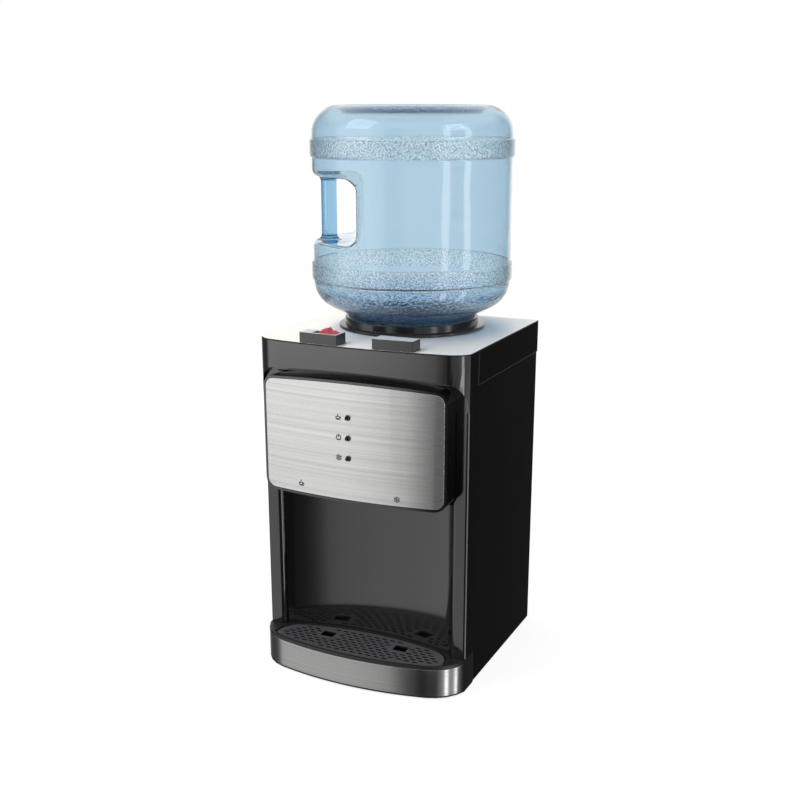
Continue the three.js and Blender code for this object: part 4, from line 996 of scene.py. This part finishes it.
# Roundings of the flange's edge, the corner between flange and collar, and the collar's top.
flange_edge = 0.0015
corner = 0.001
outer_edge = 0.0016
bore_edge = 0.001
collar = turned(
    "bottle_collar_turned",
    [
        (bore_radius, low.z),
        (flange_radius, low.z),
        *curve(flange_radius - flange_edge, flange_top - flange_edge, flange_edge, 0, 90, 4),
        *curve(collar_radius + corner, flange_top + corner, corner, 270, 180, 3),
        *curve(collar_radius - outer_edge, high.z - outer_edge, outer_edge, 0, 90, 5),
        *curve(bore_radius + bore_edge, high.z - bore_edge, bore_edge, 90, 180, 3),
        (bore_radius, low.z),
    ],
    axis,
    steps=128,
)
only(collar)
bpy.ops.object.shade_smooth_by_angle(angle=radians(35))
# Moulded nylon: black, smooth, its shine weaker than the housing's.
nylon = simple(
    "moulded_black_nylon", "#1c1c1d", "#262627", scale=200, roughness=0.16, bumpiness=0.02
)
stand_for(collar, "bottle_collar", nylon)
funnel = from_cad("seat_funnel")
soften(funnel, 0.0004)
stand_for(funnel, "seat_funnel", satin_abs)

# ---------------------------------------------------------------- water bottle
# A blown polycarbonate bottle, neck down: thin walls, two pebbled bands that stand out from
# its side, a pebbled base on top, and a hand hole crossed by a round grip.

low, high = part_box("water_bottle")
axis = Vector(((low.x + high.x) / 2, (low.y + high.y) / 2))
band_out = 0.0025
radius = (high.x - low.x) / 2 - band_out
wall = 0.002
mouth = low.z
top = high.z
neck = 0.027
neck_length = 0.05
shoulder_slope = radians(26)
shoulder_corner = 0.04
neck_end = mouth + neck_length
cone_edge = neck_end + (radius - neck) * tan(shoulder_slope)
side_start = cone_edge + tan((pi / 2 - shoulder_slope) / 2) * shoulder_corner
top_corner = 0.038
rim = radius - top_corner
# The base is pushed in like a dish: radius, and depth below the rim.
dished_base = [
    (rim - 0.0010, 0.0003),
    (rim - 0.0026, 0.0014),
    (rim - 0.0038, 0.0034),
    (rim - 0.0046, 0.0058),
    (rim - 0.0062, 0.0078),
    (rim - 0.0100, 0.0092),
    (rim - 0.0200, 0.0098),
    (0.060, 0.0101),
    (0.042, 0.0104),
    (0.022, 0.0106),
    (0, 0.0107),
]
# The neck opens into the cone in a small bend: how far out, and height over the neck's end.
neck_bend = [(0, -0.006), (0.0012, -0.001), (0.006, 0.0032)]
cone_shares = [0.25, 0.45, 0.65]
# The heights between which each band lies, and its edge: part of its rise, and distance in.
lower_band = (0.545, 0.575)
upper_band = (0.716, 0.742)
band_edge = [(0, 0), (0.25, 0.0006), (0.85, 0.0022), (1, 0.0038)]


def band_profile(start, end):
    """A band with rounded edges on the side of the bottle."""
    return [
        *[(radius + band_out * rise, start + along) for rise, along in band_edge],
        *[(radius + band_out * rise, end - along) for rise, along in reversed(band_edge)],
    ]


# The hand hole is cut straight across the side, towards the left and a little to the front. Rows
# of points for its floor and roof are set out round the waist first, and then moved into place.
handle_turn = radians(204.7)
hole_bottom = 0.603
hole_top = 0.691
hole_middle = (hole_bottom + hole_top) / 2
half_hole = (hole_top - hole_bottom) / 2
# Its back wall stands this far from the bottle's axis, and fades into the side over the blend.
hole_reach = 0.076
blend = 0.007
# Roundings of its inner corners and of its lip, and the rows of points that make them.
hole_corner = 0.016
hole_lip = 0.009
lip_rows = 6
ledge_rows = 17
row_gap = 0.0016
first_row = 0.011
rows = [half_hole + first_row - i * row_gap for i in range(1 + lip_rows + ledge_rows)]
waist_start = 0.0012
waist = [
    (radius, lower_band[1] + waist_start),
    *[(radius, hole_middle - h) for h in rows],
    (radius, hole_middle),
    *[(radius, hole_middle + h) for h in reversed(rows)],
    (radius, upper_band[0] - waist_start),
]
# Where the hole is shallow its lip is this part of the depth, and it starts this far off.
lip_share = 0.35
lip_start = 0.003


def ledge_point(row, depth, across):
    """Radius and height of a row where the hole is this deep and this far round it."""
    lip = min(hole_lip, lip_share * depth)
    flat_end = radius - depth + hole_corner / across
    first_turn = 0.0
    if radius - lip < flat_end:
        first_turn = asin(max(0.0, 1 - (depth - lip) * across / hole_corner))
    start_height = half_hole - hole_corner * (1 - cos(first_turn))
    if row == 0:
        return radius, start_height + lip + lip_start
    if row <= lip_rows:
        a = (row - 1) / (lip_rows - 1) * pi / 2
        return radius - lip + lip * cos(a), start_height + lip - lip * sin(a)
    flat = max(0.0, radius - lip - flat_end)
    bend = hole_corner * (pi / 2 - first_turn)
    along = (row - lip_rows) / ledge_rows * (flat + bend)
    if along < flat:
        return radius - lip - along, half_hole
    a = first_turn + (along - flat) / hole_corner
    bend_radius = radius - depth + hole_corner * (1 - sin(a)) / across
    return bend_radius, half_hole - hole_corner * (1 - cos(a))


bottle = turned(
    "water_bottle_blown",
    [
        (neck, mouth),
        *[(neck + out, neck_end + rise) for out, rise in neck_bend],
        *[
            (neck + (radius - neck) * share, neck_end + (cone_edge - neck_end) * share)
            for share in cone_shares
        ],
        *curve(radius - shoulder_corner, side_start, shoulder_corner, -64, 0, 10),
        *band_profile(max(lower_band[0], side_start + 0.0005), lower_band[1]),
        *waist,
        *band_profile(*upper_band),
        *curve(radius - top_corner, top - top_corner, top_corner, 0, 90, 12),
        *[(r, top - drop) for r, drop in dished_base],
    ],
    axis,
    steps=216,
)
# Only points that lie on the side, at a row's height and facing the hole are moved, and where
# the hole is shallower than the settle depth they keep part of their first place.
on_row = 1e-4
facing_hole = 0.3
settle_depth = 0.004
for point in bottle.data.vertices:
    out = point.co.xy - axis
    height = point.co.z - hole_middle
    if abs(out.length - radius) > on_row or abs(height) > rows[0] + on_row:
        continue
    across = cos(atan2(out.y, out.x) - handle_turn)
    if across < facing_hole:
        continue
    past = radius - hole_reach / across
    depth = (past + sqrt(past * past + blend * blend)) / 2
    row = round((rows[0] - abs(height)) / row_gap)
    new_radius, new_height = radius - depth, 0.0
    if abs(height) > on_row:
        new_radius, new_height = ledge_point(row, depth, across)
    settle = min(1.0, depth / settle_depth)
    new_radius = radius + (new_radius - radius) * settle
    new_height = abs(height) + (new_height - abs(height)) * settle
    point.co.x = axis.x + out.x / out.length * new_radius
    point.co.y = axis.y + out.y / out.length * new_radius
    point.co.z = hole_middle + (new_height if height > 0 else -new_height)
apply(
    bottle,
    "SOLIDIFY",
    thickness=wall,
    offset=-1.0,
    use_even_offset=True,
    use_quality_normals=True,
)

# The grip: a thick bar with spread ends, joined to the floor and roof of the hole.
outward = Vector((cos(handle_turn), sin(handle_turn)))
grip_radius = 0.011
grip_out = 0.117
grip_spread = 0.008
grip_root = 0.006
foot_of_grip = [
    (0, -grip_root),
    (grip_radius + grip_spread - 0.003, -grip_root),
    *curve(grip_radius + grip_spread, grip_spread, grip_spread, 262, 180, 8),
]
grip = turned(
    "water_bottle_grip",
    [
        *[(r, hole_bottom + h) for r, h in foot_of_grip],
        *[(r, hole_top - h) for r, h in reversed(foot_of_grip)],
    ],
    axis + outward * grip_out,
    steps=40,
)
apply(bottle, "BOOLEAN", operation="UNION", object=grip, solver="EXACT")
bpy.data.objects.remove(grip)
only(bottle)
bpy.ops.object.shade_smooth_by_angle(angle=radians(50))

# Blue polycarbonate: clear and smooth as blown, except where the mould's pebble makes it frosted,
# with a painted highlight on its grains and painted shade in its dips. The thin wall takes a pale
# tint, and thick places go deep blue.
polycarbonate, tree = new_material("blue_blown_polycarbonate")
place = add(tree, "TexCoord").outputs["Object"]
centred = add(tree, "Mapping", {"Vector": place, "Location": (-axis.x, -axis.y, 0.0)})
parts = add(tree, "SeparateXYZ", {0: centred.outputs[0]})
level_part = add(tree, "Mapping", {"Vector": centred.outputs[0], "Scale": (1.0, 1.0, 0.0)})
away = add(tree, "VectorMath", {0: level_part.outputs[0]}, operation="LENGTH")


def between(value, start, end, edge):
    """One where the value lies in the range and nought outside, with soft edges."""
    rise = add(
        tree,
        "MapRange",
        {"Value": value, "From Min": start - edge, "From Max": start + edge},
        interpolation_type="SMOOTHSTEP",
    )
    fall = add(
        tree,
        "MapRange",
        {"Value": value, "From Min": end + edge, "From Max": end - edge},
        interpolation_type="SMOOTHSTEP",
    )
    both = add(tree, "Math", {0: rise.outputs[0], 1: fall.outputs[0]}, operation="MULTIPLY")
    return both.outputs[0]


height = parts.outputs["Z"]
from_axis = away.outputs["Value"]
# The pebble's fields: the two bands, the base disc inside the rim, and the dome, which is the cone
# between the neck and the shoulder. The border of each fades over a small distance.
band_inset = 0.001
fine_fade = 0.001
disc_height = 0.014
disc_over = 0.01
past_rim = 0.0055
rim_fade = 0.0008
dome_start = 0.474
dome_end = 0.537
past_neck = 0.045
past_side = 0.2
dome_fade = 0.004
low_band_field, high_band_field = [
    between(height, start + band_inset, end - band_inset, fine_fade)
    for start, end in (lower_band, upper_band)
]
bands = add(tree, "Math", {0: low_band_field, 1: high_band_field}, operation="MAXIMUM")
base_disc = add(
    tree,
    "Math",
    {
        0: between(height, top - disc_height, top + disc_over, fine_fade),
        1: between(from_axis, -1.0, rim + past_rim, rim_fade),
    },
    operation="MULTIPLY",
)
dome = add(
    tree,
    "Math",
    {
        0: between(height, dome_start, dome_end, dome_fade),
        1: between(from_axis, past_neck, past_side, dome_fade),
    },
    operation="MULTIPLY",
)
ends = add(tree, "Math", {0: base_disc.outputs[0], 1: dome.outputs[0]}, operation="MAXIMUM")
frosted = add(tree, "Math", {0: bands.outputs[0], 1: ends.outputs[0]}, operation="MAXIMUM")
# Pebbles about 1.9 mm across, the size at which they read as a grain. The dome and the base are
# coarser, with pebbles of about 3 mm.
fine_pebbles, coarse_pebbles = [
    add(
        tree,
        "TexVoronoi",
        {"Vector": place, "Scale": scale, "Randomness": 1.0},
        feature="SMOOTH_F1",
    )
    for scale in (540.0, 330.0)
]
dip, pit = [
    add(
        tree,
        "MapRange",
        {"Value": pebbles.outputs["Distance"], "From Min": 0.1, "From Max": 0.75},
    )
    for pebbles in (fine_pebbles, coarse_pebbles)
]
fine_relief = add(
    tree,
    "Math",
    {0: dip.outputs[0], 1: bands.outputs[0]},
    operation="MULTIPLY",
)
relief = add(
    tree,
    "Math",
    {0: pit.outputs[0], 1: ends.outputs[0], 2: fine_relief.outputs[0]},
    operation="MULTIPLY_ADD",
)
# The blown wall is a little wavy, in swells of about 70 mm.
waves = add(tree, "TexNoise", {"Vector": place, "Scale": 14.0, "Detail": 1.0})
waviness = add(tree, "Bump", {"Height": waves.outputs[0], "Strength": 0.25, "Distance": 0.004})
bump = add(
    tree,
    "Bump",
    {
        "Height": relief.outputs[0],
        "Strength": 0.45,
        "Distance": 0.0005,
        "Normal": waviness.outputs[0],
    },
)
# The pebble's colours, a painted highlight on its grains and painted shade in the dips between
# them: pale on the bands, pale and deep blue on the dome, navy on the base.
fine_pebble_painted_light_and_shade = add(tree, "MapRange", {"Value": dip.outputs[0], "From Min": 0.38, "From Max": 0.88})
coarse_pebble_painted_light_and_shade = add(tree, "MapRange", {"Value": pit.outputs[0], "From Min": 0.35, "From Max": 0.85})
pale_pebble, pale_blue, deep_blue, navy_pebble = [
    add(
        tree,
        "Mix",
        {0: pattern.outputs[0], 6: linear(on_grain), 7: linear(in_dip)},
        data_type="RGBA",
    )
    for pattern, on_grain, in_dip in [
        (fine_pebble_painted_light_and_shade, "#f6fbfd", "#8ea9b9"),
        (coarse_pebble_painted_light_and_shade, "#eff6fa", "#7c9fb9"),
        (coarse_pebble_painted_light_and_shade, "#bdd6ea", "#1b4a86"),
        (coarse_pebble_painted_light_and_shade, "#9db4cf", "#1c3961"),
    ]
]
# The dome turns from pale to deep blue as the blown wall thickens towards the neck.
wall_thin = 0.527
wall_thick = 0.496
clear_cone_end = 0.490
thicker = add(tree, "MapRange", {"Value": height, "From Min": wall_thin, "From Max": wall_thick})
dome_blue = add(
    tree,
    "Mix",
    {0: thicker.outputs[0], 6: pale_blue.outputs[2], 7: deep_blue.outputs[2]},
    data_type="RGBA",
)
low_cone = between(height, mouth - 0.01, clear_cone_end, dome_fade)
tint = add(
    tree,
    "Mix",
    {0: low_cone, 6: linear("#dbe9f1"), 7: linear("#a5c6e4")},
    data_type="RGBA",
)
for field, colour in [(bands, pale_pebble), (dome, dome_blue), (base_disc, navy_pebble)]:
    tint = add(
        tree,
        "Mix",
        {0: field.outputs[0], 6: tint.outputs[2], 7: colour.outputs[2]},
        data_type="RGBA",
    )
gloss = add(tree, "MapRange", {"Value": frosted.outputs[0], "To Min": 0.0, "To Max": 0.05})
glass = add(
    tree,
    "BsdfPrincipled",
    {
        "Base Color": tint.outputs[2],
        "Roughness": gloss.outputs[0],
        "IOR": 1.58,
        "Transmission Weight": 1.0,
        "Normal": bump.outputs[0],
    },
)
clear = add(tree, "BsdfTransparent", {"Color": linear("#dfe9ef")})
path = add(tree, "LightPath")
surface = add(
    tree,
    "MixShader",
    {0: path.outputs["Is Shadow Ray"], 1: glass.outputs[0], 2: clear.outputs[0]},
)
thickness = add(tree, "VolumeAbsorption", {"Color": linear("#3cc5e8"), "Density": 42.0})
add(tree, "OutputMaterial", {"Surface": surface.outputs[0], "Volume": thickness.outputs[0]})
stand_for(bottle, "water_bottle", polycarbonate)

# The snap cap over the mouth is moulded blue polypropylene, with a soft even shine.
cap_plastic = simple(
    "moulded_blue_polypropylene", "#2f62a8", "#3a70b8", scale=120, roughness=0.4
)
cap = from_cad("bottle_cap")
soften(cap, 0.0004)
stand_for(cap, "bottle_cap", cap_plastic)
